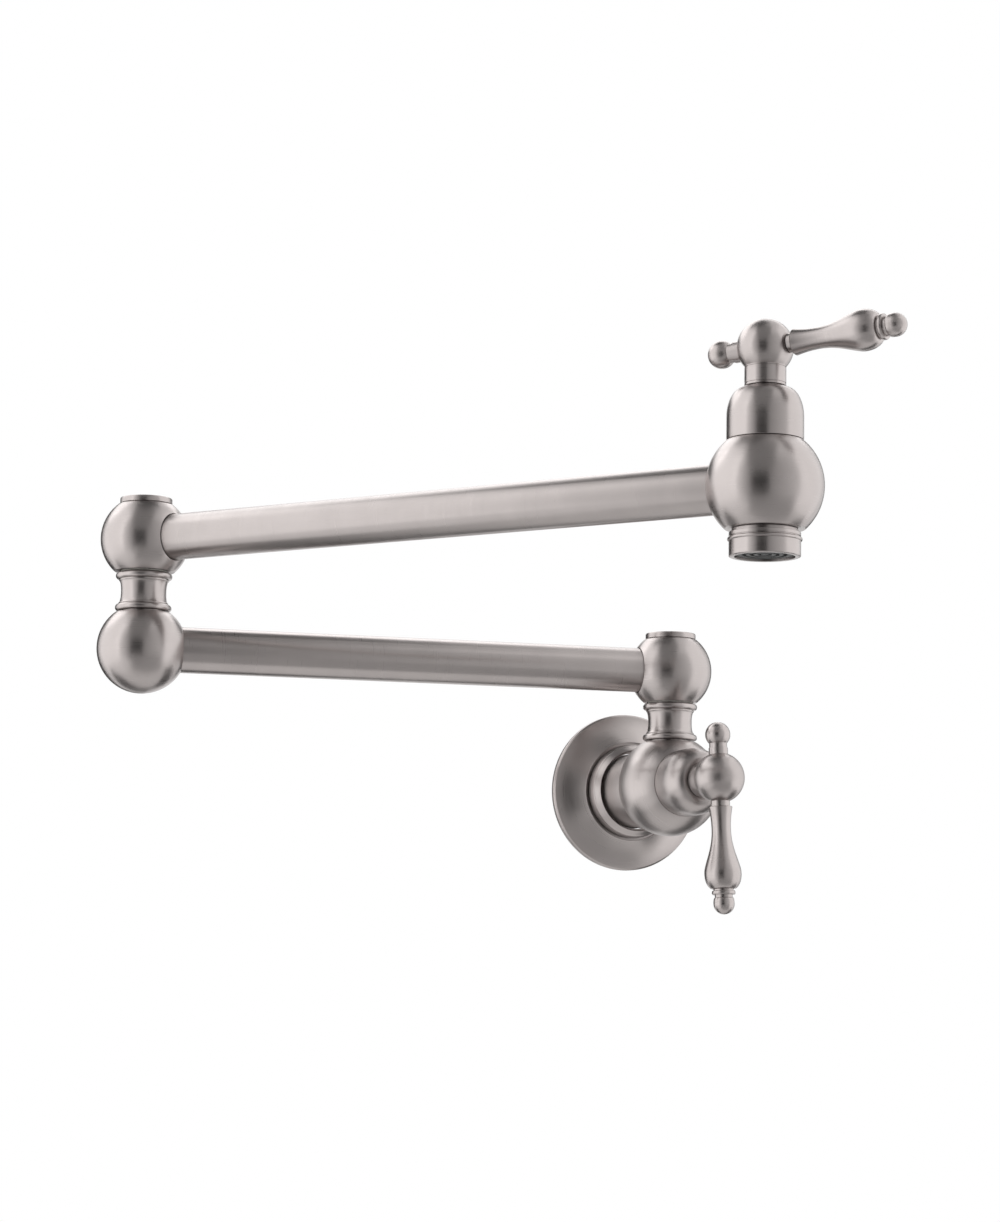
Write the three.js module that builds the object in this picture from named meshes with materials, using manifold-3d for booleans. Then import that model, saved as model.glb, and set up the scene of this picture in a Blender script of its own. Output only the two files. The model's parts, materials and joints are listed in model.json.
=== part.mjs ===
// Wall mounted pot filler: a wall valve, two swivelling arms and a second valve over the outlet.
// Millimetres, +Z up, +Y into the wall. The origin is where the valve's axis meets the wall.
import * as THREE from 'three';
import { mergeVertices } from 'three/addons/utils/BufferGeometryUtils.js';
import Module from 'manifold-3d';

const wasm = await Module();
wasm.setup();

// Shared values.
const CLEARANCE = 0.3;
const ROUND_SIDES = 18;
const SMALL_SIDES = 14;
const FLANGE_SIDES = 28;
const HOLE_SIDES = 10;
const CUT_OVERRUN = 2;

// Arms.
const TUBE_R = 10;
const TUBE_WALL = 1.4;
const TUBE_INSERTION = 3.5;
const LOWER_REACH = 241.5;
const UPPER_REACH = 303;
const LOWER_ARM_TOWARD_WALL_DEG = 5.8;
const UPPER_ARM_OUT_DEG = 52.2;
const WATERWAY_R = 5;

// Balls. A seat radius is the radius of the flat that meets a post or a cap.
const VALVE_BALL_R = 23;
const SWIVEL_BALL_R = 18.7;
const ELBOW_LOWER_BALL_R = 19.7;
const ELBOW_UPPER_BALL_R = 19.4;
const POST_SEAT_R = 12.1;
const ELBOW_UPPER_SEAT_R = 13.1;
const ELBOW_WELL_DEPTH = 22;

// Wall fixing.
const VALVE_STANDOFF = 53.2;
const FLANGE_R = 36.5;
const FLANGE_RIM_HEIGHT = 2.2;
const FLANGE_RIM_BEVEL = 0.8;
const FLANGE_RIM_WIDTH = 2.6;
const FLANGE_HEIGHT = 9.4;
const FLANGE_WALL = 1.8;
const FLANGE_LAND_R = 22.3;
const GASKET_THICKNESS = 1.1;
const GASKET_WIDTH = 9;
const LOCK_RING_R = 21.8;
const LOCK_RING_HEIGHT = 7.5;
const LOCK_RING_TAPER = 0.6;
const LOCK_RING_CONE_HEIGHT = 2.4;
const LOCK_RING_BEVEL = 0.6;

// Wall valve body.
const SHANK_R = 17.3;
const SHANK_SETBACK = 1.5;
const COLLAR_R = 18.4;
const COLLAR_LENGTH = 2.6;
const COLLAR_FLARE = 0.6;
const INLET_R = 10.2;
const BODY_SPIGOT_DEPTH = 8;
const VALVE_WATERWAY_R = 6;

// Posts: the necks on which the balls turn.
const NECK_HEIGHT = 17.6;
const NECK_BEAD_R = 12.3;
const NECK_BEAD_EDGE_R = 11.2;
const NECK_BEAD_HEIGHT = 3.2;
const NECK_END_R = 10.8;
const NECK_WAIST_R = 9.85;
const SPIGOT_R = 8;
const SPIGOT_DEPTH = 7;
const STEM_R = 7.5;
const STEM_BORE_R = 4.6;
const STEM_BORE_RISE = 2;
const PORT_R = 2.8;
const PORT_DROP = 1.5;
const GALLERY_R = 10.5;
const GALLERY_HALF_HEIGHT = 5.2;
const GROOVE_DEPTH = 1.6;
const GROOVE_WIDTH = 2;
const O_RING_R = 0.7;
const LOWER_O_RING_DROP = 9.5;
const UPPER_O_RING_DROP = 2.1;
const THRUST_WASHER_R = 10.2;
const THRUST_WASHER_THICKNESS = 1.4;

// Caps and what they hide.
const CAP_R = 11.4;
const CAP_SEAT_LAND = 0.7;
const CAP_GAP = 0.5;
const CAP_HEIGHT = 2.5;
const CAP_EDGE_R = 0.7;
const CAP_SPIGOT_DEPTH = 1.5;
const CAP_POCKET_R = 10.2;
const CAP_POCKET_DEPTH = 5.6;
const RETAINING_WASHER_THICKNESS = 1;
const SCREW_HEAD_R = 5.5;
const SCREW_HEAD_HEIGHT = 2.4;
const SCREW_SHANK_R = 3;
const SCREW_SHANK_LENGTH = 5.4;
const SCREW_SOCKET_R = 2.6;
const SCREW_SOCKET_DEPTH = 1.5;

// Valve heads, measured along the stem from the ball's centre.
const CHAMBER_R = 11.8;
const CHAMBER_FLOOR = -8;
const BONNET_R = 15;
const BONNET_HEIGHT = 20.6;
const BONNET_SHOULDER_HEIGHT = 11.6;
const BONNET_TOP_R = 8.7;
const BONNET_HOLE_R = 5.2;
const BONNET_TOP_THICKNESS = 1.5;
const CARTRIDGE_R = 9;
const CARTRIDGE_THREAD_LENGTH = 9.4;
const CARTRIDGE_FLANGE_R = 13;
const CARTRIDGE_FLANGE_HEIGHT = 3;
const CARTRIDGE_NECK_R = 8;
const CARTRIDGE_NECK_HEIGHT = 10;
const SEAL_THICKNESS = 2.2;
const SEAL_OUTER_R = 8.2;
const SEAL_INNER_R = 5.6;
const DISC_R = 6.7;
const DISC_THICKNESS = 2.2;
const DISC_PORT_R = 1.7;
const DISC_PORT_OFFSET = 3.6;
const DISC_GAP = 0.05;
const WINDOW_WIDTH = 6;
const WINDOW_HEIGHT = 4;
const SPINDLE_R = 3.3;
const SPINDLE_FOOT_HEIGHT = 3;
const SPINDLE_TOP_BELOW_HUB = 4.4;
const SPINDLE_BORE_CLEARANCE = 0.4;
const SPINDLE_GROOVE_HEIGHT = 14;
const SPINDLE_GROOVE_DEPTH = 0.95;
const SPINDLE_GROOVE_WIDTH = 1.6;
const SPINDLE_O_RING_R = 0.5;
const CLIP_THICKNESS = 0.8;
const CLIP_R = 4.6;
const CLIP_GROOVE_DEPTH = 0.6;

// Handles. Distances along the lever are from the hub's centre.
const HUB_R = 11.1;
const HUB_HEIGHT = 54.4;
const HUB_NECK_R = 8.1;
const LEVER_TILT_DEG = 3.2;
const WALL_LEVER_LEAN_DEG = 1.2;
const STUD_R = 2.2;
const STUD_LENGTH = 5;
const LEVER_NECK_R = 3.9;
const LEVER_ROOT = 13;
const LEVER_ROOT_R = 5.2;
const LEVER_WAIST = 22;
const LEVER_WAIST_R = 4.2;
const LEVER_BULB = 42.6;
const LEVER_BULB_R = 8.15;
const LEVER_BULB_END_R = 5;
const LEVER_RING = 50.2;
const LEVER_RING_R = 5.15;
const LEVER_RING_WIDTH = 1.7;
const LEVER_TIP_NECK_R = 4.3;
const LEVER_TIP = 55;
const LEVER_TIP_R = 4.6;
const FINIAL_NECK_R = 3.9;
const FINIAL = 19;
const FINIAL_R = 5.5;
const SET_SCREW_R = 1.8;
const SET_SCREW_DROP = 10.8;
const SET_SCREW_LENGTH = 3.4;
const SET_SCREW_SOCKET_R = 0.9;

// Outlet.
const OUTLET_SEAT_R = 15.6;
const OUTLET_NECK_R = 12.8;
const OUTLET_NECK_HEIGHT = 1.2;
const OUTLET_R = 13.9;
const OUTLET_HEIGHT = 9.4;
const OUTLET_BEAD_R = 14.5;
const OUTLET_BEAD_HEIGHT = 1.4;
const OUTLET_BEAD_DROP = 2.6;
const OUTLET_GROOVE_DEPTH = 0.4;
const OUTLET_GROOVE_DROP = 1.4;
const OUTLET_GROOVE_WIDTH = 0.4;
const OUTLET_LIP_BEVEL = 0.4;
const OUTLET_SPIGOT_R = 10.8;
const OUTLET_SPIGOT_DEPTH = 4.6;
const OUTLET_SPIGOT_WALL = 2.2;
const AERATOR_POCKET_R = 11.8;
const AERATOR_POCKET_DEPTH = 6.8;
const AERATOR_RECESS = 0.8;
const AERATOR_HEIGHT = 4.4;
const AERATOR_RING_DEPTH = 0.7;
const AERATOR_RING_STEP = 2.9;
const AERATOR_RINGS = 3;
const AERATOR_WASHER_THICKNESS = 1.2;
const AERATOR_WASHER_WIDTH = 3;

// Sizes worked out from the ones above.
const radians = THREE.MathUtils.degToRad;
const heightAtRadius = (ball, radius) => Math.sqrt(ball * ball - radius * radius);
const valveSeat = heightAtRadius(VALVE_BALL_R, POST_SEAT_R);
const elbowSeat = heightAtRadius(ELBOW_LOWER_BALL_R, POST_SEAT_R);
const bonnetSeat = heightAtRadius(VALVE_BALL_R, BONNET_R);
const outletSeat = -heightAtRadius(VALVE_BALL_R, OUTLET_SEAT_R);
const outletTop = outletSeat - CLEARANCE;
const outletShoulder = outletTop - OUTLET_NECK_HEIGHT;
const outletRim = outletShoulder - OUTLET_HEIGHT;
const bonnetBase = bonnetSeat + CLEARANCE;
const bonnetTop = bonnetBase + BONNET_HEIGHT;
const neckTop = CLEARANCE + NECK_HEIGHT;
const setScrewHeight = HUB_HEIGHT - SET_SCREW_DROP;
const collarStart = -heightAtRadius(VALVE_BALL_R, COLLAR_R + COLLAR_FLARE) - COLLAR_LENGTH;
const spigotBoreR = SPIGOT_R + CLEARANCE;
const stemHoleR = STEM_R + CLEARANCE;
const tubeSocketR = TUBE_R + CLEARANCE;
const capSeatR = CAP_R + CAP_SEAT_LAND;
const swivelBall = { radius: SWIVEL_BALL_R, seatRadius: POST_SEAT_R };
const elbowUpperBall = { radius: ELBOW_UPPER_BALL_R, seatRadius: ELBOW_UPPER_SEAT_R };
const ballLift = (ball) => neckTop + CLEARANCE + heightAtRadius(ball.radius, ball.seatRadius);
const lowerArmHeight = valveSeat + ballLift(swivelBall);
const elbowRise = elbowSeat + ballLift(elbowUpperBall);

// Materials.
const finish = (color, metalness, roughness) =>
  new THREE.MeshStandardMaterial({ color, metalness, roughness });
const BRUSHED_NICKEL = finish(0xb4aba6, 1, 0.32);
const BRASS = finish(0xc4a45a, 1, 0.35);
const STEEL = finish(0xbfc1c2, 1, 0.3);
const RUBBER = finish(0x26272a, 0, 0.8);
const CERAMIC = finish(0xf1eee6, 0, 0.25);
const ACETAL = finish(0xe6e4de, 0, 0.5);
const AERATOR_PLASTIC = finish(0x4a4c4e, 0, 0.45);

// Shaping helpers. Solids are turned about +Z or drilled along a direction.
function solid(geometry) {
  geometry.deleteAttribute('normal');
  geometry.deleteAttribute('uv');
  const merged = mergeVertices(geometry);
  const vertProperties = new Float32Array(merged.attributes.position.array);
  const triVerts = new Uint32Array(merged.index.array);
  return new wasm.Manifold(new wasm.Mesh({ numProp: 3, vertProperties, triVerts }));
}

function turned(profile, sides = ROUND_SIDES) {
  const points = profile.map(([radius, height]) => new THREE.Vector2(radius, height));
  return solid(new THREE.LatheGeometry(points, sides).rotateX(Math.PI / 2));
}

function ring(inner, outer, from, to, sides = ROUND_SIDES) {
  return turned([[inner, from], [outer, from], [outer, to], [inner, to], [inner, from]], sides);
}

function disc(radius, from, to, sides = ROUND_SIDES) {
  return turned([[0, from], [radius, from], [radius, to], [0, to]], sides);
}

function drill(radius, from, to, direction, centre = [0, 0, 0], sides = SMALL_SIDES) {
  const start = new THREE.Vector3(...direction).normalize();
  const geometry = new THREE.CylinderGeometry(radius, radius, to - from, sides);
  geometry.translate(0, (from + to) / 2, 0);
  geometry.applyQuaternion(new THREE.Quaternion().setFromUnitVectors(new THREE.Vector3(0, 1, 0), start));
  geometry.translate(...centre);
  return solid(geometry);
}

function ellipseArc([centreR, centreZ], [spanR, spanZ], fromDeg, toDeg, steps) {
  const points = [];
  for (let step = 0; step <= steps; step += 1) {
    const angle = radians(fromDeg + ((toDeg - fromDeg) * step) / steps);
    points.push([centreR + spanR * Math.cos(angle), centreZ + spanZ * Math.sin(angle)]);
  }
  return points;
}

function ballArc(radius, fromHeight, toHeight, steps, centre = 0) {
  const from = THREE.MathUtils.radToDeg(Math.asin(fromHeight / radius));
  const to = THREE.MathUtils.radToDeg(Math.asin(toHeight / radius));
  return ellipseArc([0, centre], [radius, radius], from, to, steps);
}

function piece(name, body, material) {
  const { vertProperties, triVerts } = body.getMesh();
  const geometry = new THREE.BufferGeometry();
  geometry.setAttribute('position', new THREE.BufferAttribute(new Float32Array(vertProperties), 3));
  geometry.setIndex(new THREE.BufferAttribute(new Uint32Array(triVerts), 1));
  geometry.computeVertexNormals();
  const mesh = new THREE.Mesh(geometry, material);
  mesh.name = name;
  return mesh;
}

function groupOf(...children) {
  const group = new THREE.Group();
  group.add(...children);
  return group;
}

// Wall fixing, built along the valve's axis with height 0 at the wall.
function wallGasket() {
  const outer = FLANGE_R - FLANGE_RIM_WIDTH - CLEARANCE;
  return piece('wall_gasket', ring(outer - GASKET_WIDTH, outer, 0, GASKET_THICKNESS), RUBBER);
}

function wallFlange() {
  const coveBase = FLANGE_RIM_HEIGHT + FLANGE_RIM_BEVEL;
  const coveR = FLANGE_R - FLANGE_RIM_BEVEL;
  const coveSpan = [FLANGE_LAND_R - coveR, coveBase - FLANGE_HEIGHT];
  const innerSpan = [coveSpan[0] - FLANGE_WALL, coveSpan[1] - FLANGE_WALL];
  const centre = [coveR, FLANGE_HEIGHT];
  const rimInner = FLANGE_R - FLANGE_RIM_WIDTH;
  const rimDeg = THREE.MathUtils.radToDeg(Math.acos((rimInner - coveR) / innerSpan[0]));
  const lipDeg = THREE.MathUtils.radToDeg(Math.asin(-FLANGE_WALL / innerSpan[1]));
  const holeR = SHANK_R + CLEARANCE;
  const profile = [
    [rimInner, 0],
    [FLANGE_R, 0],
    [FLANGE_R, FLANGE_RIM_HEIGHT],
    ...ellipseArc(centre, coveSpan, 90, 0, 5),
    [holeR, FLANGE_HEIGHT],
    [holeR, FLANGE_HEIGHT - FLANGE_WALL],
    ...ellipseArc(centre, innerSpan, lipDeg, rimDeg, 4),
    [rimInner, 0],
  ];
  return piece('wall_flange', turned(profile, FLANGE_SIDES), BRUSHED_NICKEL);
}

function flangeLockRing() {
  const base = FLANGE_HEIGHT + CLEARANCE;
  const top = base + LOCK_RING_HEIGHT;
  const boreR = SHANK_R + CLEARANCE;
  const shoulder = top - LOCK_RING_CONE_HEIGHT;
  const profile = [
    [boreR, base],
    [LOCK_RING_R, base],
    [LOCK_RING_R - LOCK_RING_TAPER, shoulder - LOCK_RING_BEVEL],
    [LOCK_RING_R - LOCK_RING_TAPER - LOCK_RING_BEVEL, shoulder],
    [boreR + LOCK_RING_BEVEL, top],
    [boreR, top - LOCK_RING_BEVEL],
    [boreR, base],
  ];
  return piece('flange_lock_ring', turned(profile), BRUSHED_NICKEL);
}

// Valve bodies: a ball with a chamber for the cartridge, built along the stem from the ball's centre.
function chamber() {
  return disc(CHAMBER_R, CHAMBER_FLOOR, bonnetSeat + CUT_OVERRUN);
}

function tubeSocket(ballR, inwardTo, direction) {
  const mouth = heightAtRadius(ballR, tubeSocketR);
  const floor = mouth - TUBE_INSERTION;
  const socket = drill(tubeSocketR, floor, ballR + CUT_OVERRUN, direction, [0, 0, 0], ROUND_SIDES);
  return socket.add(drill(WATERWAY_R, inwardTo, floor + CUT_OVERRUN, direction));
}

// The supply pipe screws into one end of the shank's bore, and the body into the other.
function valveShank() {
  const body = ring(INLET_R, SHANK_R, SHANK_SETBACK - VALVE_STANDOFF, collarStart - CLEARANCE);
  return piece('valve_shank', body, BRUSHED_NICKEL);
}

function valveBody() {
  const spigotEnd = collarStart - BODY_SPIGOT_DEPTH;
  const outside = turned([
    [0, spigotEnd],
    [INLET_R - CLEARANCE, spigotEnd],
    [INLET_R - CLEARANCE, collarStart],
    [COLLAR_R, collarStart],
    ...ballArc(VALVE_BALL_R, collarStart + COLLAR_LENGTH, bonnetSeat, 7),
    [0, bonnetSeat],
  ]);
  const body = outside
    .subtract(drill(VALVE_BALL_R, valveSeat, VALVE_BALL_R + CUT_OVERRUN, [0, 1, 0]))
    .subtract(chamber())
    .subtract(disc(VALVE_WATERWAY_R, spigotEnd - CUT_OVERRUN, CHAMBER_FLOOR + CUT_OVERRUN, SMALL_SIDES))
    .subtract(drill(spigotBoreR, 0, VALVE_BALL_R, [0, 1, 0], [0, 0, 0], ROUND_SIDES));
  return piece('valve_body', body, BRUSHED_NICKEL);
}

function spoutBody() {
  const outside = turned([
    [0, outletSeat],
    ...ballArc(VALVE_BALL_R, outletSeat, bonnetSeat, 8),
    [0, bonnetSeat],
  ]);
  const socketTop = outletSeat + OUTLET_SPIGOT_DEPTH + CLEARANCE;
  const body = outside
    .subtract(chamber())
    .subtract(disc(VALVE_WATERWAY_R, socketTop - CUT_OVERRUN, CHAMBER_FLOOR + CUT_OVERRUN, SMALL_SIDES))
    .subtract(disc(OUTLET_SPIGOT_R + CLEARANCE, outletSeat - CUT_OVERRUN, socketTop))
    .subtract(tubeSocket(VALVE_BALL_R, 0, [-1, 0, 0]));
  return piece('spout_body', body, BRUSHED_NICKEL);
}

// A post is built upward from the flat of the ball that carries it.
function neckProfile(base) {
  const bead = [NECK_BEAD_R - NECK_BEAD_EDGE_R, NECK_BEAD_HEIGHT / 2];
  const lowerBead = [NECK_BEAD_EDGE_R, base + NECK_BEAD_HEIGHT / 2];
  const upperBead = [NECK_BEAD_EDGE_R, base + NECK_HEIGHT - NECK_BEAD_HEIGHT / 2];
  const middle = base + NECK_HEIGHT / 2;
  const waist = [NECK_WAIST_R - NECK_END_R, NECK_HEIGHT / 2 - NECK_BEAD_HEIGHT];
  return [
    ...ellipseArc(lowerBead, bead, -90, 90, 3),
    ...ellipseArc([NECK_END_R, middle], waist, -90, 90, 3),
    ...ellipseArc(upperBead, bead, -90, 90, 3),
  ];
}

function groove(centre) {
  const floorR = STEM_R - GROOVE_DEPTH;
  return [
    [STEM_R, centre - GROOVE_WIDTH / 2],
    [floorR, centre - GROOVE_WIDTH / 2],
    [floorR, centre + GROOVE_WIDTH / 2],
    [STEM_R, centre + GROOVE_WIDTH / 2],
  ];
}

function jointHeights(ball) {
  const centre = ballLift(ball);
  const capSeat = centre + heightAtRadius(ball.radius, capSeatR);
  const pocketFloor = capSeat - CAP_POCKET_DEPTH;
  return {
    centre,
    capSeat,
    pocketFloor,
    stemTop: pocketFloor + CLEARANCE,
    lowerORing: centre - LOWER_O_RING_DROP,
    upperORing: pocketFloor - UPPER_O_RING_DROP,
  };
}

function swivelPost(name, ball) {
  const at = jointHeights(ball);
  const screwHoleR = SCREW_SHANK_R + CLEARANCE;
  const screwHoleFloor = at.stemTop + RETAINING_WASHER_THICKNESS - SCREW_SHANK_LENGTH - CLEARANCE;
  const boreTop = Math.min(at.centre + STEM_BORE_RISE, screwHoleFloor - CLEARANCE);
  const body = turned([
    [0, boreTop],
    [STEM_BORE_R, boreTop],
    [STEM_BORE_R, -SPIGOT_DEPTH],
    [SPIGOT_R, -SPIGOT_DEPTH],
    [SPIGOT_R, CLEARANCE],
    ...neckProfile(CLEARANCE),
    [STEM_R, neckTop],
    ...groove(at.lowerORing),
    ...groove(at.upperORing),
    [STEM_R, at.stemTop],
    [screwHoleR, at.stemTop],
    [screwHoleR, screwHoleFloor],
    [0, screwHoleFloor],
  ]);
  const portCentre = [0, 0, at.centre - PORT_DROP];
  const drilled = body
    .subtract(drill(PORT_R, -STEM_R - 1, STEM_R + 1, [1, 0, 0], portCentre, HOLE_SIDES))
    .subtract(drill(PORT_R, -STEM_R - 1, STEM_R + 1, [0, 1, 0], portCentre, HOLE_SIDES));
  return piece(name, drilled, BRUSHED_NICKEL);
}

function oRing(name, sectionR, boreR, centre) {
  const profile = ellipseArc([boreR - CLEARANCE / 2 - sectionR, centre], [sectionR, sectionR], 0, 360, 6);
  return piece(name, turned(profile, SMALL_SIDES), RUBBER);
}

function retainingScrew(name, base) {
  const top = base + SCREW_HEAD_HEIGHT;
  const body = turned([
    [0, base - SCREW_SHANK_LENGTH],
    [SCREW_SHANK_R, base - SCREW_SHANK_LENGTH],
    [SCREW_SHANK_R, base],
    [SCREW_HEAD_R, base],
    [SCREW_HEAD_R, top],
    [0, top],
  ], SMALL_SIDES);
  const socket = drill(SCREW_SOCKET_R, top - SCREW_SOCKET_DEPTH, top + CUT_OVERRUN, [0, 0, 1], [0, 0, 0], 6);
  return piece(name, body.subtract(socket), STEEL);
}

function postPieces(prefix, ball) {
  const at = jointHeights(ball);
  const screwHoleR = SCREW_SHANK_R + CLEARANCE;
  const washerR = CAP_POCKET_R - CLEARANCE;
  const washerTop = at.stemTop + RETAINING_WASHER_THICKNESS;
  const thrustTop = neckTop + THRUST_WASHER_THICKNESS;
  return groupOf(
    swivelPost(`${prefix}_post`, ball),
    piece(`${prefix}_thrust_washer`, ring(stemHoleR, THRUST_WASHER_R, neckTop, thrustTop), ACETAL),
    oRing(`${prefix}_lower_o_ring`, O_RING_R, stemHoleR, at.lowerORing),
    oRing(`${prefix}_upper_o_ring`, O_RING_R, stemHoleR, at.upperORing),
    piece(`${prefix}_retaining_washer`, ring(screwHoleR, washerR, at.stemTop, washerTop), STEEL),
    retainingScrew(`${prefix}_retaining_screw`, washerTop),
  );
}

// The ball that turns on a post, built from its own centre with the tube along +X.
function turningBall(name, ball) {
  const seat = -heightAtRadius(ball.radius, ball.seatRadius);
  const capSeat = heightAtRadius(ball.radius, capSeatR);
  const pocketFloor = capSeat - CAP_POCKET_DEPTH;
  const washerTop = seat + THRUST_WASHER_THICKNESS;
  const outside = turned([
    [0, seat],
    ...ballArc(ball.radius, seat, capSeat, 8),
    [0, capSeat],
  ]);
  const inside = turned([
    [0, seat - CUT_OVERRUN],
    [THRUST_WASHER_R + CLEARANCE, seat - CUT_OVERRUN],
    [THRUST_WASHER_R + CLEARANCE, washerTop],
    [stemHoleR, washerTop],
    [stemHoleR, -GALLERY_HALF_HEIGHT],
    [GALLERY_R, -GALLERY_HALF_HEIGHT],
    [GALLERY_R, GALLERY_HALF_HEIGHT],
    [stemHoleR, GALLERY_HALF_HEIGHT],
    [stemHoleR, pocketFloor],
    [CAP_POCKET_R, pocketFloor],
    [CAP_POCKET_R, capSeat + CUT_OVERRUN],
    [0, capSeat + CUT_OVERRUN],
  ]);
  const socket = tubeSocket(ball.radius, GALLERY_R - CUT_OVERRUN, [1, 0, 0]);
  const body = outside.subtract(inside).subtract(socket);
  return piece(name, body, BRUSHED_NICKEL);
}

function cap(name, ball) {
  const seat = heightAtRadius(ball.radius, capSeatR);
  const base = seat + CAP_GAP;
  const spigotR = CAP_POCKET_R - CLEARANCE;
  const edge = [CAP_R - CAP_EDGE_R, base + CAP_HEIGHT - CAP_EDGE_R];
  const body = turned([
    [0, seat - CAP_SPIGOT_DEPTH],
    [spigotR, seat - CAP_SPIGOT_DEPTH],
    [spigotR, base],
    [CAP_R, base],
    ...ellipseArc(edge, [CAP_EDGE_R, CAP_EDGE_R], 0, 90, 2),
    [0, base + CAP_HEIGHT],
  ]);
  return piece(name, body, BRUSHED_NICKEL);
}

// The ball that ends the lower arm and carries the elbow's post. The tube comes from -X.
function elbowLowerBall() {
  const outside = turned([
    [0, -ELBOW_LOWER_BALL_R],
    ...ballArc(ELBOW_LOWER_BALL_R, -ELBOW_LOWER_BALL_R, elbowSeat, 9).slice(1),
    [0, elbowSeat],
  ]);
  const body = outside
    .subtract(disc(spigotBoreR, elbowSeat - ELBOW_WELL_DEPTH, elbowSeat + CUT_OVERRUN))
    .subtract(tubeSocket(ELBOW_LOWER_BALL_R, 0, [-1, 0, 0]));
  return piece('elbow_lower_ball', body, BRUSHED_NICKEL);
}

// An arm tube runs along +X between the sockets of two balls.
function armTube(name, nearBallR, farBallR, reach) {
  const start = heightAtRadius(nearBallR, tubeSocketR) - TUBE_INSERTION + CLEARANCE;
  const end = reach - heightAtRadius(farBallR, tubeSocketR) + TUBE_INSERTION - CLEARANCE;
  const mesh = piece(name, ring(TUBE_R - TUBE_WALL, TUBE_R, start, end), BRUSHED_NICKEL);
  mesh.rotation.y = Math.PI / 2;
  return mesh;
}

// Cartridge, bonnet and handle, built along the stem from the ball's centre.
const sealTop = CHAMBER_FLOOR + SEAL_THICKNESS;
const cartridgeBase = sealTop + CLEARANCE;
const fixedDiscTop = cartridgeBase + DISC_THICKNESS;
const movingDiscBase = fixedDiscTop + DISC_GAP;
const movingDiscTop = movingDiscBase + DISC_THICKNESS;
const footBase = movingDiscTop + DISC_GAP;
const footTop = footBase + SPINDLE_FOOT_HEIGHT;
const discBoreR = DISC_R + CLEARANCE;
const spindleBoreR = SPINDLE_R + SPINDLE_BORE_CLEARANCE;
const cartridgeTop = bonnetBase + CARTRIDGE_FLANGE_HEIGHT + CARTRIDGE_NECK_HEIGHT;
const clipBase = cartridgeTop + CLEARANCE;
const spindleTop = HUB_HEIGHT - SPINDLE_TOP_BELOW_HUB;

function cartridgeBody(name) {
  const threadR = CHAMBER_R - CLEARANCE;
  const flangeTop = bonnetBase + CARTRIDGE_FLANGE_HEIGHT;
  const body = turned([
    [discBoreR, cartridgeBase],
    [CARTRIDGE_R, cartridgeBase],
    [CARTRIDGE_R, bonnetSeat - CARTRIDGE_THREAD_LENGTH],
    [threadR, bonnetSeat - CARTRIDGE_THREAD_LENGTH],
    [threadR, bonnetBase],
    [CARTRIDGE_FLANGE_R, bonnetBase],
    [CARTRIDGE_FLANGE_R, flangeTop],
    [CARTRIDGE_NECK_R, flangeTop],
    [CARTRIDGE_NECK_R, cartridgeTop],
    [spindleBoreR, cartridgeTop],
    [spindleBoreR, footTop + CLEARANCE],
    [discBoreR, footTop + CLEARANCE],
    [discBoreR, cartridgeBase],
  ], SMALL_SIDES);
  const window = new THREE.BoxGeometry(WINDOW_WIDTH, 2 * CARTRIDGE_R + CUT_OVERRUN, WINDOW_HEIGHT);
  window.translate(0, 0, movingDiscBase + WINDOW_HEIGHT / 2);
  return piece(name, body.subtract(solid(window)), BRASS);
}

// The fixed disc has a round port on each side, in line with the windows of the cartridge body.
function fixedDisc(name) {
  const span = [cartridgeBase - CUT_OVERRUN, fixedDiscTop + CUT_OVERRUN];
  let body = disc(DISC_R, cartridgeBase, fixedDiscTop, SMALL_SIDES);
  for (const offset of [-DISC_PORT_OFFSET, DISC_PORT_OFFSET]) {
    body = body.subtract(drill(DISC_PORT_R, ...span, [0, 0, 1], [0, offset, 0], HOLE_SIDES));
  }
  return piece(name, body, CERAMIC);
}

// The moving disc has open notches. It covers the ports at rest, a quarter turn away from them.
function movingDisc(name) {
  const notchLength = DISC_R + CUT_OVERRUN;
  let body = disc(DISC_R, movingDiscBase, movingDiscTop, SMALL_SIDES);
  for (const side of [-1, 1]) {
    const notch = new THREE.BoxGeometry(notchLength, 2 * DISC_PORT_R, DISC_THICKNESS + CUT_OVERRUN);
    const centre = DISC_PORT_OFFSET - DISC_PORT_R + notchLength / 2;
    notch.translate(side * centre, 0, movingDiscBase + DISC_THICKNESS / 2);
    body = body.subtract(solid(notch));
  }
  return piece(name, body, CERAMIC);
}

function bonnet(name) {
  const innerR = CARTRIDGE_FLANGE_R + CLEARANCE;
  const shoulder = bonnetTop - BONNET_SHOULDER_HEIGHT;
  const ceiling = bonnetTop - BONNET_TOP_THICKNESS;
  const wall = BONNET_R - innerR;
  const outerSpan = [BONNET_R - BONNET_TOP_R, BONNET_SHOULDER_HEIGHT];
  const innerSpan = [outerSpan[0] - wall / 2, BONNET_SHOULDER_HEIGHT - BONNET_TOP_THICKNESS];
  const innerCentre = [innerR - innerSpan[0], shoulder];
  const body = turned([
    [innerR, bonnetBase],
    [BONNET_R, bonnetBase],
    ...ellipseArc([BONNET_TOP_R, shoulder], outerSpan, 0, 90, 4),
    [BONNET_HOLE_R, bonnetTop],
    [BONNET_HOLE_R, ceiling],
    ...ellipseArc(innerCentre, innerSpan, 90, 0, 2),
    [innerR, bonnetBase],
  ]);
  return piece(name, body, BRUSHED_NICKEL);
}

function valveInsides(prefix) {
  const seal = ring(SEAL_INNER_R, SEAL_OUTER_R, CHAMBER_FLOOR, sealTop, SMALL_SIDES);
  return groupOf(
    piece(`${prefix}_seat_seal`, seal, RUBBER),
    fixedDisc(`${prefix}_fixed_disc`),
    cartridgeBody(`${prefix}_cartridge_body`),
    bonnet(`${prefix}_bonnet`),
  );
}

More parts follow.
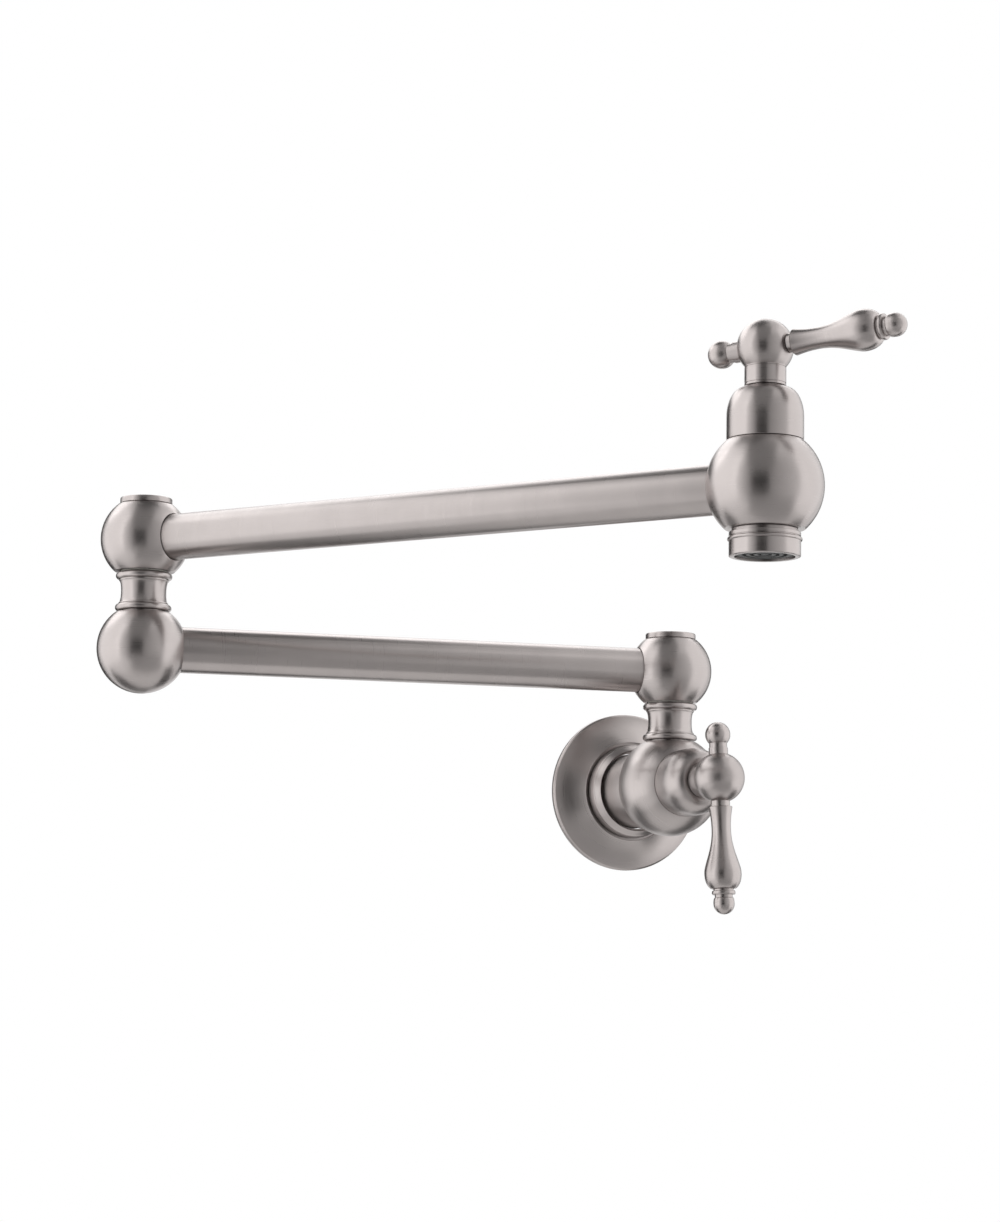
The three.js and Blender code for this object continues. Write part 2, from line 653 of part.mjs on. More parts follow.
function spindle(name) {
  const oRingFloor = SPINDLE_R - SPINDLE_GROOVE_DEPTH;
  const clipFloor = SPINDLE_R - CLIP_GROOVE_DEPTH;
  const clipTop = clipBase + CLIP_THICKNESS;
  const body = turned([
    [0, footBase],
    [DISC_R, footBase],
    [DISC_R, footTop],
    [SPINDLE_R, footTop],
    [SPINDLE_R, SPINDLE_GROOVE_HEIGHT - SPINDLE_GROOVE_WIDTH / 2],
    [oRingFloor, SPINDLE_GROOVE_HEIGHT - SPINDLE_GROOVE_WIDTH / 2],
    [oRingFloor, SPINDLE_GROOVE_HEIGHT + SPINDLE_GROOVE_WIDTH / 2],
    [SPINDLE_R, SPINDLE_GROOVE_HEIGHT + SPINDLE_GROOVE_WIDTH / 2],
    [SPINDLE_R, clipBase - CLEARANCE / 2],
    [clipFloor, clipBase - CLEARANCE / 2],
    [clipFloor, clipTop + CLEARANCE / 2],
    [SPINDLE_R, clipTop + CLEARANCE / 2],
    [SPINDLE_R, spindleTop],
    [0, spindleTop],
  ], SMALL_SIDES);
  return piece(name, body, BRASS);
}

function hub(name) {
  const neckBase = bonnetTop + CLEARANCE;
  const joinHeight = -heightAtRadius(HUB_R, HUB_NECK_R);
  const outside = turned([
    [0, neckBase],
    [HUB_NECK_R, neckBase],
    ...ballArc(HUB_R, joinHeight, HUB_R, 6, HUB_HEIGHT).slice(0, -1),
    [0, HUB_HEIGHT + HUB_R],
  ]);
  const tilt = radians(LEVER_TILT_DEG);
  const leverAxis = [Math.cos(tilt), 0, Math.sin(tilt)];
  const finialAxis = leverAxis.map((value) => -value);
  const centre = [0, 0, HUB_HEIGHT];
  const studFloor = HUB_R - STUD_LENGTH - CLEARANCE;
  const holeR = STUD_R + CLEARANCE;
  const beyond = HUB_R + CUT_OVERRUN;
  const body = outside
    .subtract(disc(SPINDLE_R + CLEARANCE, neckBase - CUT_OVERRUN, spindleTop + CLEARANCE, SMALL_SIDES))
    .subtract(drill(LEVER_NECK_R + CLEARANCE, spotFace(LEVER_NECK_R), beyond, leverAxis, centre))
    .subtract(drill(FINIAL_NECK_R + CLEARANCE, spotFace(FINIAL_NECK_R), beyond, finialAxis, centre))
    .subtract(drill(holeR, studFloor, HUB_R, leverAxis, centre))
    .subtract(drill(holeR, studFloor, HUB_R, finialAxis, centre))
    .subtract(drill(SET_SCREW_R + CLEARANCE, 0, HUB_R, [-1, 0, 0], [0, 0, setScrewHeight]));
  return piece(name, body, BRUSHED_NICKEL);
}

// Distance from the hub's centre to the flat that a lever or finial of this radius seats on.
function spotFace(neckR) {
  return heightAtRadius(HUB_R, neckR + CLEARANCE);
}

function studProfile(neckR) {
  const root = spotFace(neckR) + CLEARANCE;
  return [
    [0, HUB_R - STUD_LENGTH],
    [STUD_R, HUB_R - STUD_LENGTH],
    [STUD_R, root],
    [neckR, root],
  ];
}

function lever(name) {
  const ringHalf = LEVER_RING_WIDTH / 2;
  const tipNeck = heightAtRadius(LEVER_TIP_R, LEVER_TIP_NECK_R);
  const swellStart = LEVER_WAIST + (LEVER_BULB - LEVER_WAIST) * 0.4;
  const swellMiddle = LEVER_WAIST + (LEVER_BULB - LEVER_WAIST) * 0.67;
  const swell = LEVER_BULB_R - LEVER_WAIST_R;
  const bulbEnd = LEVER_RING - ringHalf - CLEARANCE;
  const outline = new THREE.SplineCurve([
    new THREE.Vector2(LEVER_ROOT_R, LEVER_ROOT),
    new THREE.Vector2(LEVER_WAIST_R, LEVER_WAIST),
    new THREE.Vector2(LEVER_WAIST_R + swell * 0.2, swellStart),
    new THREE.Vector2(LEVER_WAIST_R + swell * 0.54, swellMiddle),
    new THREE.Vector2(LEVER_BULB_R, LEVER_BULB),
    new THREE.Vector2(LEVER_BULB_END_R, bulbEnd),
  ]);
  const body = turned([
    ...studProfile(LEVER_NECK_R),
    [LEVER_NECK_R, LEVER_ROOT - CLEARANCE],
    ...outline.getPoints(8).map((point) => [point.x, point.y]),
    [LEVER_RING_R, LEVER_RING - ringHalf],
    [LEVER_RING_R, LEVER_RING + ringHalf],
    [LEVER_TIP_NECK_R, LEVER_RING + ringHalf],
    ...ballArc(LEVER_TIP_R, -tipNeck, LEVER_TIP_R, 3, LEVER_TIP).slice(0, -1),
    [0, LEVER_TIP + LEVER_TIP_R],
  ], SMALL_SIDES);
  const mesh = piece(name, body, BRUSHED_NICKEL);
  mesh.rotation.y = Math.PI / 2;
  return mesh;
}

function finial(name) {
  const join = -heightAtRadius(FINIAL_R, FINIAL_NECK_R);
  const body = turned([
    ...studProfile(FINIAL_NECK_R),
    ...ballArc(FINIAL_R, join, FINIAL_R, 5, FINIAL).slice(0, -1),
    [0, FINIAL + FINIAL_R],
  ], SMALL_SIDES);
  const mesh = piece(name, body, BRUSHED_NICKEL);
  mesh.rotation.y = -Math.PI / 2;
  return mesh;
}

function setScrew(name) {
  const inner = SPINDLE_R + CLEARANCE;
  const outer = inner + SET_SCREW_LENGTH;
  const centre = [0, 0, setScrewHeight];
  const body = drill(SET_SCREW_R, inner, outer, [-1, 0, 0], centre);
  const socket = drill(SET_SCREW_SOCKET_R, outer - SET_SCREW_R, outer + CUT_OVERRUN, [-1, 0, 0], centre, 6);
  return piece(name, body.subtract(socket), STEEL);
}

// The lever and its hub are turned to their own heading. The spindle's foot and the disc are not.
function handle(prefix, leverHeadingDeg) {
  const clipInner = SPINDLE_R - CLIP_GROOVE_DEPTH + CLEARANCE / 2;
  const clipTop = clipBase + CLIP_THICKNESS;
  const grip = groupOf(lever(`${prefix}_lever`), finial(`${prefix}_finial`));
  grip.position.z = HUB_HEIGHT;
  grip.rotation.y = -radians(LEVER_TILT_DEG);
  const knob = groupOf(hub(`${prefix}_hub`), setScrew(`${prefix}_set_screw`), grip);
  knob.rotation.z = radians(leverHeadingDeg);
  return groupOf(
    movingDisc(`${prefix}_moving_disc`),
    spindle(`${prefix}_spindle`),
    oRing(`${prefix}_spindle_o_ring`, SPINDLE_O_RING_R, spindleBoreR, SPINDLE_GROOVE_HEIGHT),
    piece(`${prefix}_spindle_clip`, ring(clipInner, CLIP_R, clipBase, clipTop, SMALL_SIDES), STEEL),
    knob,
  );
}

// Outlet, built downward from the flat under the spout's ball.
function outletCollar() {
  const pocketTop = outletRim + AERATOR_POCKET_DEPTH;
  const spigotTop = outletSeat + OUTLET_SPIGOT_DEPTH;
  const spigotInner = OUTLET_SPIGOT_R - OUTLET_SPIGOT_WALL;
  const grooveTop = outletShoulder - OUTLET_GROOVE_DROP;
  const grooveBase = grooveTop - OUTLET_GROOVE_WIDTH;
  const beadCentre = [OUTLET_R, outletShoulder - OUTLET_BEAD_DROP];
  const bead = [OUTLET_BEAD_R - OUTLET_R, OUTLET_BEAD_HEIGHT / 2];
  const body = turned([
    [AERATOR_POCKET_R, outletRim],
    [OUTLET_R - OUTLET_LIP_BEVEL, outletRim],
    [OUTLET_R, outletRim + OUTLET_LIP_BEVEL],
    ...ellipseArc(beadCentre, bead, -90, 90, 3),
    [OUTLET_R - OUTLET_GROOVE_DEPTH, grooveBase],
    [OUTLET_R - OUTLET_GROOVE_DEPTH, grooveTop],
    [OUTLET_R, grooveTop],
    [OUTLET_R, outletShoulder],
    [OUTLET_NECK_R, outletShoulder],
    [OUTLET_NECK_R, outletTop],
    [OUTLET_SPIGOT_R, outletTop],
    [OUTLET_SPIGOT_R, spigotTop],
    [spigotInner, spigotTop],
    [spigotInner, pocketTop],
    [AERATOR_POCKET_R, pocketTop],
    [AERATOR_POCKET_R, outletRim],
  ]);
  return piece('outlet_collar', body, BRUSHED_NICKEL);
}

function aeratorInsert() {
  const face = outletRim + AERATOR_RECESS;
  const outer = AERATOR_POCKET_R - CLEARANCE;
  const profile = [[0, face]];
  for (let index = 0; index < AERATOR_RINGS; index += 1) {
    const grooveR = (index + 0.5) * AERATOR_RING_STEP;
    profile.push([grooveR, face]);
    profile.push([grooveR, face + AERATOR_RING_DEPTH]);
    profile.push([grooveR + AERATOR_RING_STEP / 2, face + AERATOR_RING_DEPTH]);
    profile.push([grooveR + AERATOR_RING_STEP / 2, face]);
  }
  profile.push([outer, face], [outer, face + AERATOR_HEIGHT], [0, face + AERATOR_HEIGHT]);
  return piece('aerator_insert', turned(profile), AERATOR_PLASTIC);
}

function aeratorWasher() {
  const base = outletRim + AERATOR_RECESS + AERATOR_HEIGHT;
  const outer = AERATOR_POCKET_R - CLEARANCE;
  const body = ring(outer - AERATOR_WASHER_WIDTH, outer, base, base + AERATOR_WASHER_THICKNESS);
  return piece('aerator_washer', body, RUBBER);
}

// Assembly.
const wallPieces = groupOf(wallGasket(), wallFlange(), flangeLockRing());
wallPieces.rotation.x = Math.PI / 2;

const wallHandle = handle('wall_handle', WALL_LEVER_LEAN_DEG - 90);
const wallValve = groupOf(valveShank(), valveBody(), valveInsides('valve'), wallHandle);
wallValve.position.y = -VALVE_STANDOFF;
wallValve.rotation.x = Math.PI / 2;

const valvePost = postPieces('swivel', swivelBall);
valvePost.position.set(0, -VALVE_STANDOFF, valveSeat);

const spout = groupOf(
  spoutBody(),
  valveInsides('spout'),
  handle('spout_handle', 0),
  outletCollar(),
  aeratorInsert(),
  aeratorWasher(),
);
spout.position.x = UPPER_REACH;

const upperArm = groupOf(
  turningBall('elbow_upper_ball', elbowUpperBall),
  cap('elbow_cap', elbowUpperBall),
  armTube('upper_tube', ELBOW_UPPER_BALL_R, VALVE_BALL_R, UPPER_REACH),
  spout,
);
const lowerArmHeading = radians(180 - LOWER_ARM_TOWARD_WALL_DEG);
upperArm.position.set(LOWER_REACH, 0, elbowRise);
upperArm.rotation.z = -radians(UPPER_ARM_OUT_DEG) - lowerArmHeading;

const elbowPost = postPieces('elbow', elbowUpperBall);
elbowPost.position.set(LOWER_REACH, 0, elbowSeat);

const elbowBall = elbowLowerBall();
elbowBall.position.x = LOWER_REACH;

const lowerArm = groupOf(
  turningBall('swivel_ball', swivelBall),
  cap('swivel_cap', swivelBall),
  armTube('lower_tube', SWIVEL_BALL_R, ELBOW_LOWER_BALL_R, LOWER_REACH),
  elbowBall,
  elbowPost,
  upperArm,
);
lowerArm.position.set(0, -VALVE_STANDOFF, lowerArmHeight);
lowerArm.rotation.z = lowerArmHeading;

export default groupOf(wallPieces, wallValve, valvePost, lowerArm);
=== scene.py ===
"""Wall mounted pot filler in brushed nickel: two ball-jointed arms, with a lever valve at each end.

Every piece is turned or bored like the real one. Its section is drawn in the XZ plane, spun about Z and
laid on the axis that the frame gives it. Sizes are in metres.
"""

import json
import math

import bmesh
import bpy
from bpy.props import FloatProperty, FloatVectorProperty, PointerProperty
from mathutils import Matrix, Vector
from mathutils.geometry import interpolate_bezier


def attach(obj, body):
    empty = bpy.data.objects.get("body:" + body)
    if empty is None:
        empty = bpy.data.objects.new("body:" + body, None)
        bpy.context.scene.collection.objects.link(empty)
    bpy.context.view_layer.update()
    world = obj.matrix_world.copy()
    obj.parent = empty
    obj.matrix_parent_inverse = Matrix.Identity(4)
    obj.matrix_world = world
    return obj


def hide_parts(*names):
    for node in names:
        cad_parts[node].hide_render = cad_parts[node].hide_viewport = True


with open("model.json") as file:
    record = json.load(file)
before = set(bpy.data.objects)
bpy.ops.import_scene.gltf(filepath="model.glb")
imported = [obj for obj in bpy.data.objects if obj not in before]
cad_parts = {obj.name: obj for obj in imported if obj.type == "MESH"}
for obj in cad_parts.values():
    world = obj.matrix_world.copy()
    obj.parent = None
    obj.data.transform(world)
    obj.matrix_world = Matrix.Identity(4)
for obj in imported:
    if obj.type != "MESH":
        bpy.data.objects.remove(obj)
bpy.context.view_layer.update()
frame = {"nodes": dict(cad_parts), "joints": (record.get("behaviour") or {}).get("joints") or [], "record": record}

bl_info = {
    "name": "Wall mounted pot filler",
    "version": (1, 0, 0),
    "blender": (4, 5, 0),
    "location": "View3D > Sidebar > Pot filler",
    "description": "Makes a folding wall mounted pot filler and a plain studio round it",
    "category": "Add Mesh",
}

MM = 0.001
CLEARANCE = 0.3 * MM
QUARTER_TURN = math.pi / 2
CIRCLE_HANDLE = 0.5523  # share of the radius from the end of a quarter circle to its handle
SHARP_EDGE = math.radians(25)
SAME_POINT = 1e-7
BEYOND = 2.0 * MM  # how far a cutter reaches past what it cuts

# Where the valves and swivels stand, from the joints of the frame.
JOINTS = {joint["name"]: Vector(joint["pos_m"]) for joint in frame["joints"]}
SWIVEL_CENTRE = JOINTS["lower_arm_swivel"]
ELBOW_TOP = JOINTS["upper_arm_swivel"]
SPOUT_CENTRE = JOINTS["spout_handle_turn"]
VALVE_CENTRE = Vector((SWIVEL_CENTRE.x, SWIVEL_CENTRE.y, 0.0))
ELBOW_BASE = Vector((ELBOW_TOP.x, ELBOW_TOP.y, SWIVEL_CENTRE.z))
LOWER_ARM = ELBOW_BASE - SWIVEL_CENTRE
UPPER_ARM = SPOUT_CENTRE - ELBOW_TOP

# Sizes shared with the solids of the frame, where one piece sits in another.
VALVE_BALL = 23.0 * MM
SWIVEL_BALL = 18.7 * MM
ELBOW_LOWER_BALL = 19.7 * MM
ELBOW_UPPER_BALL = 19.4 * MM
POST_SEAT = 12.1 * MM
ELBOW_UPPER_SEAT = 13.1 * MM
BONNET_SEAT = 15.0 * MM
OUTLET_SEAT = 15.6 * MM
CAP_SEAT = 12.1 * MM
CAP_GAP = 0.5 * MM
CAP_POCKET = 10.2 * MM
CAP_POCKET_DEPTH = 5.6 * MM
POST_SPIGOT = 8.0 * MM
POST_STEM = 7.5 * MM
CHAMBER = 11.8 * MM
CHAMBER_FLOOR = -8.0 * MM
VALVE_WATERWAY = 6.0 * MM
TUBE_WATERWAY = 5.0 * MM
TUBE_INSERTION = 3.5 * MM
THRUST_WASHER = 10.2 * MM
THRUST_WASHER_DEPTH = 1.4 * MM
GALLERY = 10.5 * MM
GALLERY_HALF_HEIGHT = 5.2 * MM
FLANGE_BORE = 17.6 * MM
SHANK_BACK = -51.7 * MM
INLET = 10.2 * MM
BODY_SPIGOT_DEPTH = 8.0 * MM
COLLAR_FLARE = 0.6 * MM
COLLAR_DEPTH = 2.6 * MM
OUTLET_SPIGOT = 10.8 * MM
OUTLET_SPIGOT_HEIGHT = 4.6 * MM
OUTLET_NECK_HEIGHT = 1.2 * MM
HUB_HEIGHT = 54.4 * MM
SPINDLE_BORE = 3.6 * MM
SPINDLE_BORE_TOP = 50.3 * MM
STUD = 2.2 * MM
STUD_DEPTH = 5.0 * MM
SET_SCREW = 1.8 * MM
SET_SCREW_LENGTH = 3.4 * MM
SET_SCREW_HEIGHT = 43.6 * MM
LEVER_TILT = math.radians(3.2)
WALL_LEVER_HEADING = math.radians(-88.8)


def height_at(ball, radius):
    """Height over a ball's centre at which the ball has this radius."""
    return math.sqrt(ball * ball - radius * radius)


def upright(at, arm=Vector((1, 0, 0))):
    """Place of a piece that stands up, turned to the heading of its arm."""
    return Matrix.Translation(at) @ Matrix.Rotation(math.atan2(arm.y, arm.x), 4, "Z")


def from_wall(at):
    """Place of a piece whose axis points out of the wall."""
    return Matrix.Translation(at) @ Matrix.Rotation(QUARTER_TURN, 4, "X")


def turned_about(place, angle, axis):
    return place @ Matrix.Rotation(angle, 4, axis)


WALL = from_wall((0, 0, 0))
WALL_VALVE = from_wall(VALVE_CENTRE)
SPOUT = upright(SPOUT_CENTRE, UPPER_ARM)
LOWER_SWIVEL = upright(SWIVEL_CENTRE, LOWER_ARM)
ELBOW_LOWER = upright(ELBOW_BASE, LOWER_ARM)
ELBOW_UPPER = upright(ELBOW_TOP, UPPER_ARM)
WALL_HANDLE = turned_about(WALL_VALVE, WALL_LEVER_HEADING, "Z")


# Colours and finishes.

def hex_linear(code):
    """Linear colour of an sRGB hex code."""
    parts = [int(code[place:place + 2], 16) / 255 for place in (1, 3, 5)]
    return tuple(c / 12.92 if c <= 0.04045 else ((c + 0.055) / 1.055) ** 2.4 for c in parts)


WHITE = (1, 1, 1, 1)
NOISE_RANGE = {"From Min": 0.3, "From Max": 0.7}
DARK_SOCKET, LIGHT_SOCKET, COLOUR_SOCKET = 6, 7, 2


def darker(colour, share):
    return tuple(share * part for part in colour)


def add_node(tree, kind, links=None, values=None, **settings):
    """Adds a node with its settings, the values of its inputs and the sockets that feed them."""
    node = tree.nodes.new(kind)
    for name, value in settings.items():
        setattr(node, name, value)
    for name, value in (values or {}).items():
        node.inputs[name].default_value = value
    for name, socket in (links or {}).items():
        tree.links.new(socket, node.inputs[name])
    return node


def new_material(name):
    material = bpy.data.materials.new(name)
    material.use_nodes = True
    material.node_tree.nodes.clear()
    return material, material.node_tree


def two_shades(tree, factor, dark, light):
    """A colour that goes from the dark shade to the light one with the factor."""
    mix = add_node(tree, "ShaderNodeMix", {"Factor": factor}, {
        DARK_SOCKET: (*dark, 1), LIGHT_SOCKET: (*light, 1)}, data_type="RGBA")
    return mix.outputs[COLOUR_SOCKET]


def brushed_nickel(finish):
    """Nickel plate on brass, brushed with a fine belt while the piece turns in the lathe.

    The marks run round each piece, so a light smears along its axis into a soft band, and the plate has
    a faint mottling. The marks are drawn wider apart than real ones, because they must show.
    """
    roughness_spread, relief_strength, mark_depth, darkest = 0.04, 0.15, 0.02 * MM, 0.94
    material, tree = new_material("Brushed nickel plate")
    place = add_node(tree, "ShaderNodeTexCoord")
    turning = add_node(tree, "ShaderNodeUVMap", uv_map="turning")
    across = add_node(tree, "ShaderNodeSeparateXYZ", {"Vector": place.outputs["Object"]})
    along = add_node(tree, "ShaderNodeSeparateXYZ", {"Vector": turning.outputs["UV"]})
    sideways = add_node(tree, "ShaderNodeMath", {0: across.outputs["X"], 1: across.outputs["Z"]})
    path = add_node(tree, "ShaderNodeCombineXYZ", {
        "X": sideways.outputs[0], "Y": across.outputs["Y"], "Z": along.outputs["Y"]})
    drawn_out = (1 / finish.mark_length, 1 / finish.mark_length, 1 / finish.mark_spacing)
    lay = add_node(tree, "ShaderNodeMapping", {"Vector": path.outputs[0]}, {"Scale": drawn_out})
    marks = add_node(tree, "ShaderNodeTexNoise", {"Vector": lay.outputs[0]},
                     {"Scale": 1.0, "Detail": 3.0, "Roughness": 0.6})
    mottle = add_node(tree, "ShaderNodeTexNoise", {"Vector": place.outputs["Object"]},
                      {"Scale": 1 / finish.mottle_size, "Detail": 2.0})
    patches = add_node(tree, "ShaderNodeMapRange", {"Value": mottle.outputs["Fac"]}, NOISE_RANGE)
    plate = two_shades(tree, patches.outputs["Result"], darker(finish.colour, darkest), finish.colour)
    rough = add_node(tree, "ShaderNodeMapRange", {"Value": marks.outputs["Fac"]}, {
        **NOISE_RANGE, "To Min": finish.roughness - roughness_spread,
        "To Max": finish.roughness + roughness_spread})
    relief = add_node(tree, "ShaderNodeBump", {"Height": marks.outputs["Fac"]},
                      {"Strength": relief_strength, "Distance": mark_depth})
    round_piece = add_node(tree, "ShaderNodeTangent", direction_type="UV_MAP", uv_map="turning")
    metal = add_node(tree, "ShaderNodeBsdfPrincipled", {
        "Base Color": plate, "Roughness": rough.outputs["Result"],
        "Normal": relief.outputs["Normal"], "Tangent": round_piece.outputs["Tangent"],
    }, {"Metallic": 1.0, "Anisotropic": finish.anisotropy, "Anisotropic Rotation": 0.25})
    add_node(tree, "ShaderNodeOutputMaterial", {"Surface": metal.outputs["BSDF"]})
    return material


def grained_finish(name, light, dark, metallic, roughness, grain, relief_depth, stretch=(1, 1, 1)):
    """A finish with a grain of this size between two colours."""
    roughness_spread, relief_strength = 0.05, 0.2
    material, tree = new_material(name)
    place = add_node(tree, "ShaderNodeTexCoord")
    lay = add_node(tree, "ShaderNodeMapping", {"Vector": place.outputs["Object"]}, {"Scale": stretch})
    noise = add_node(tree, "ShaderNodeTexNoise", {"Vector": lay.outputs["Vector"]},
                     {"Scale": 1 / grain, "Detail": 3.0})
    colour = two_shades(tree, noise.outputs["Fac"], hex_linear(dark), hex_linear(light))
    rough = add_node(tree, "ShaderNodeMapRange", {"Value": noise.outputs["Fac"]}, {
        "To Min": roughness - roughness_spread, "To Max": roughness + roughness_spread})
    relief = add_node(tree, "ShaderNodeBump", {"Height": noise.outputs["Fac"]},
                      {"Strength": relief_strength, "Distance": relief_depth})
    surface = add_node(tree, "ShaderNodeBsdfPrincipled", {
        "Base Color": colour, "Roughness": rough.outputs["Result"],
        "Normal": relief.outputs["Normal"]}, {"Metallic": metallic})
    add_node(tree, "ShaderNodeOutputMaterial", {"Surface": surface.outputs["BSDF"]})
    return material


FINISHES = {
    "brushed_nickel": lambda: brushed_nickel(bpy.context.scene.pot_filler_finish),
    # Free-cutting brass, turned and left bare: warm yellow, with fine tool marks across it.
    "brass": lambda: grained_finish(
        "Turned brass", "#c9a85c", "#a98a45", 1.0, 0.3, 0.4 * MM, 0.02 * MM, (1, 1, 6)),
    # Stainless steel of small screws and clips: neutral grey and slightly satin.
    "stainless_steel": lambda: grained_finish(
        "Tumbled stainless steel", "#c2c4c5", "#a7a9ab", 1.0, 0.28, 0.3 * MM, 0.01 * MM),
    # Moulded EPDM: black and dull, with a faint bloom.
    "rubber": lambda: grained_finish(
        "Moulded EPDM rubber", "#2c2d30", "#1b1c1e", 0.0, 0.75, 0.5 * MM, 0.03 * MM),
    # Lapped alumina: dense white with a soft gloss.
    "ceramic": lambda: grained_finish(
        "Lapped alumina", "#f3f0e8", "#e6e2d8", 0.0, 0.2, 0.2 * MM, 0.002 * MM),
    # Machined acetal: milky white and waxy.
    "acetal": lambda: grained_finish(
        "Machined acetal", "#ece9e2", "#dcd8cf", 0.0, 0.45, 0.4 * MM, 0.01 * MM),
    # Moulded acetal of the aerator: dark grey, with a soft gloss on its rings.
    "aerator_plastic": lambda: grained_finish(
        "Moulded grey acetal", "#38393a", "#242526", 0.0, 0.45, 0.5 * MM, 0.01 * MM),
}
MADE_FINISHES = {}


def finish_of(slot):
    """The material of one of the record's slots, made once."""
    if slot not in MADE_FINISHES:
        MADE_FINISHES[slot] = FINISHES[slot]()
    return MADE_FINISHES[slot]


# Turning and boring.

class Section:
    """Half of the section of a turned piece, drawn from point to point."""

    def __init__(self, radius, height):
        self.mesh = bmesh.new()
        self.along = self.mesh.verts.layers.float.new("along")
        self.turning = self.mesh.loops.layers.uv.new("turning")
        self.start = self.end = self.mesh.verts.new((radius, 0, height))
        self.corners = []

    def line(self, *points):
        """Straight runs to (radius, height) or, with a rounded corner, (radius, height, rounding)."""
        for radius, height, *rounding in points:
            corner = self.mesh.verts.new((radius, 0, height))
            self.mesh.edges.new((self.end, corner))
            self.end = corner
            self.corners += [(corner, rounding[0])] if rounding else []
        return self

    def ball(self, to_height, centre=0.0, steps=64):
        """An arc round the point at this height on the axis."""
        begin = self.end.co.xz - Vector((0, centre))
        rise = to_height - centre
        radius = math.sqrt(max(begin.length_squared - rise * rise, 0))
        turn = math.atan2(rise, radius) - math.atan2(begin.y, begin.x)
        made = bmesh.ops.spin(self.mesh, geom=[self.end], cent=(0, 0, centre), axis=(0, -1, 0),
                              angle=turn, steps=steps)
        self.end = next(part for part in made["geom_last"] if isinstance(part, bmesh.types.BMVert))
        return self

    def curve(self, handle, other_handle, end, steps=12):
        """A smooth curve whose two handles are given as (radius, height)."""
        knots = [Vector((radius, 0, height)) for radius, height in (handle, other_handle, end)]
        path = interpolate_bezier(self.end.co, *knots, steps + 1)
        return self.line(*[(point.x, point.z) for point in path[1:]])

    def leaving_upright(self, end, steps=8):
        """A quarter of an ellipse that leaves along the axis and arrives across it."""
        run = (end[0] - self.end.co.x) * CIRCLE_HANDLE
        rise = (end[1] - self.end.co.z) * CIRCLE_HANDLE
        return self.curve((self.end.co.x, self.end.co.z + rise), (end[0] - run, end[1]), end, steps)

    def leaving_level(self, end, steps=8):
        """A quarter of an ellipse that leaves across the axis and arrives along it."""
        run = (end[0] - self.end.co.x) * CIRCLE_HANDLE
        rise = (end[1] - self.end.co.z) * CIRCLE_HANDLE
        return self.curve((self.end.co.x + run, self.end.co.z), (end[0], end[1] - rise), end, steps)

    def bead(self, radius, end, steps=8):
        """A half-round bead that swells to this radius and ends at (radius, height)."""
        middle = (self.end.co.z + end[1]) / 2
        return self.leaving_level((radius, middle), steps).leaving_upright(end, steps)

    def close(self):
        self.mesh.edges.new((self.end, self.start))
        return self

    def turn(self, name, place, sides=96):
        """Rounds the corners, spins the section into a closed piece and lays it in its place."""
        mesh = self.mesh
        for corner, rounding in self.corners:
            bmesh.ops.bevel(mesh, geom=[corner], offset=rounding, offset_type="OFFSET", segments=4,
                            profile=0.5, affect="VERTICES", material=-1)
        self.measure()
        bmesh.ops.spin(mesh, geom=mesh.verts[:] + mesh.edges[:], cent=(0, 0, 0), axis=(0, 0, 1),
                       angle=2 * math.pi, steps=sides, use_merge=True)
        bmesh.ops.remove_doubles(mesh, verts=mesh.verts, dist=SAME_POINT)
        bmesh.ops.recalc_face_normals(mesh, faces=mesh.faces)
        self.map_turning()
        mesh.verts.layers.float.remove(self.along)
        bmesh.ops.transform(mesh, matrix=place, verts=mesh.verts)
        data = bpy.data.meshes.new(name)
        mesh.to_mesh(data)
        mesh.free()
        data.shade_smooth()
        data.set_sharp_from_angle(angle=SHARP_EDGE)
        piece = bpy.data.objects.new(name, data)
        bpy.context.scene.collection.objects.link(piece)
        return piece

    def measure(self):
        """Notes at each point of the section how far along it the point lies."""
        point, edge, distance = self.start, None, 0.0
        while point:
            point[self.along] = distance
            edge = next((other for other in point.link_edges if other != edge), None)
            following = edge.other_vert(point) if edge else None
            distance += edge.calc_length() if edge else 0.0
            point = following if following != self.start else None

    def map_turning(self):
        """UV map with turns round the piece across it, and metres along its section up it."""
        for face in self.mesh.faces:
            middle = face.calc_center_median()
            heading = math.atan2(middle.y, middle.x)
            for loop in face.loops:
                spot = loop.vert.co
                on_axis = spot.xy.length <= SAME_POINT
                turn = 0.0 if on_axis else math.atan2(spot.y, spot.x) - heading
                turn = (turn + math.pi) % (2 * math.pi) - math.pi
                loop[self.turning].uv = ((heading + turn) / (2 * math.pi), loop.vert[self.along])


def bore(piece, *cutters):
    """Cuts each cutter out of the piece and removes the cutters."""
    for cutter in cutters:
        cut = piece.modifiers.new("Bore", "BOOLEAN")
        cut.operation = "DIFFERENCE"
        cut.solver = "EXACT"
        cut.object = cutter
    state = bpy.context.evaluated_depsgraph_get()
    data = bpy.data.meshes.new_from_object(piece.evaluated_get(state))
    data.name = piece.name
    piece.modifiers.clear()
    piece.data = data
    data.set_sharp_from_angle(angle=SHARP_EDGE)
    for cutter in cutters:
        bpy.data.objects.remove(cutter)
    return piece


def hand_over(piece, body, node, slot="brushed_nickel"):
    """Gives the piece its finish and its body, and lets it stand for a node of the frame."""
    if not piece.data.polygons:
        raise RuntimeError(f"{piece.name} came out empty")
    piece.data.materials.clear()
    piece.data.materials.append(finish_of(slot))
    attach(piece, body)
    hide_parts(node)


# Wall fixing and valve bodies.

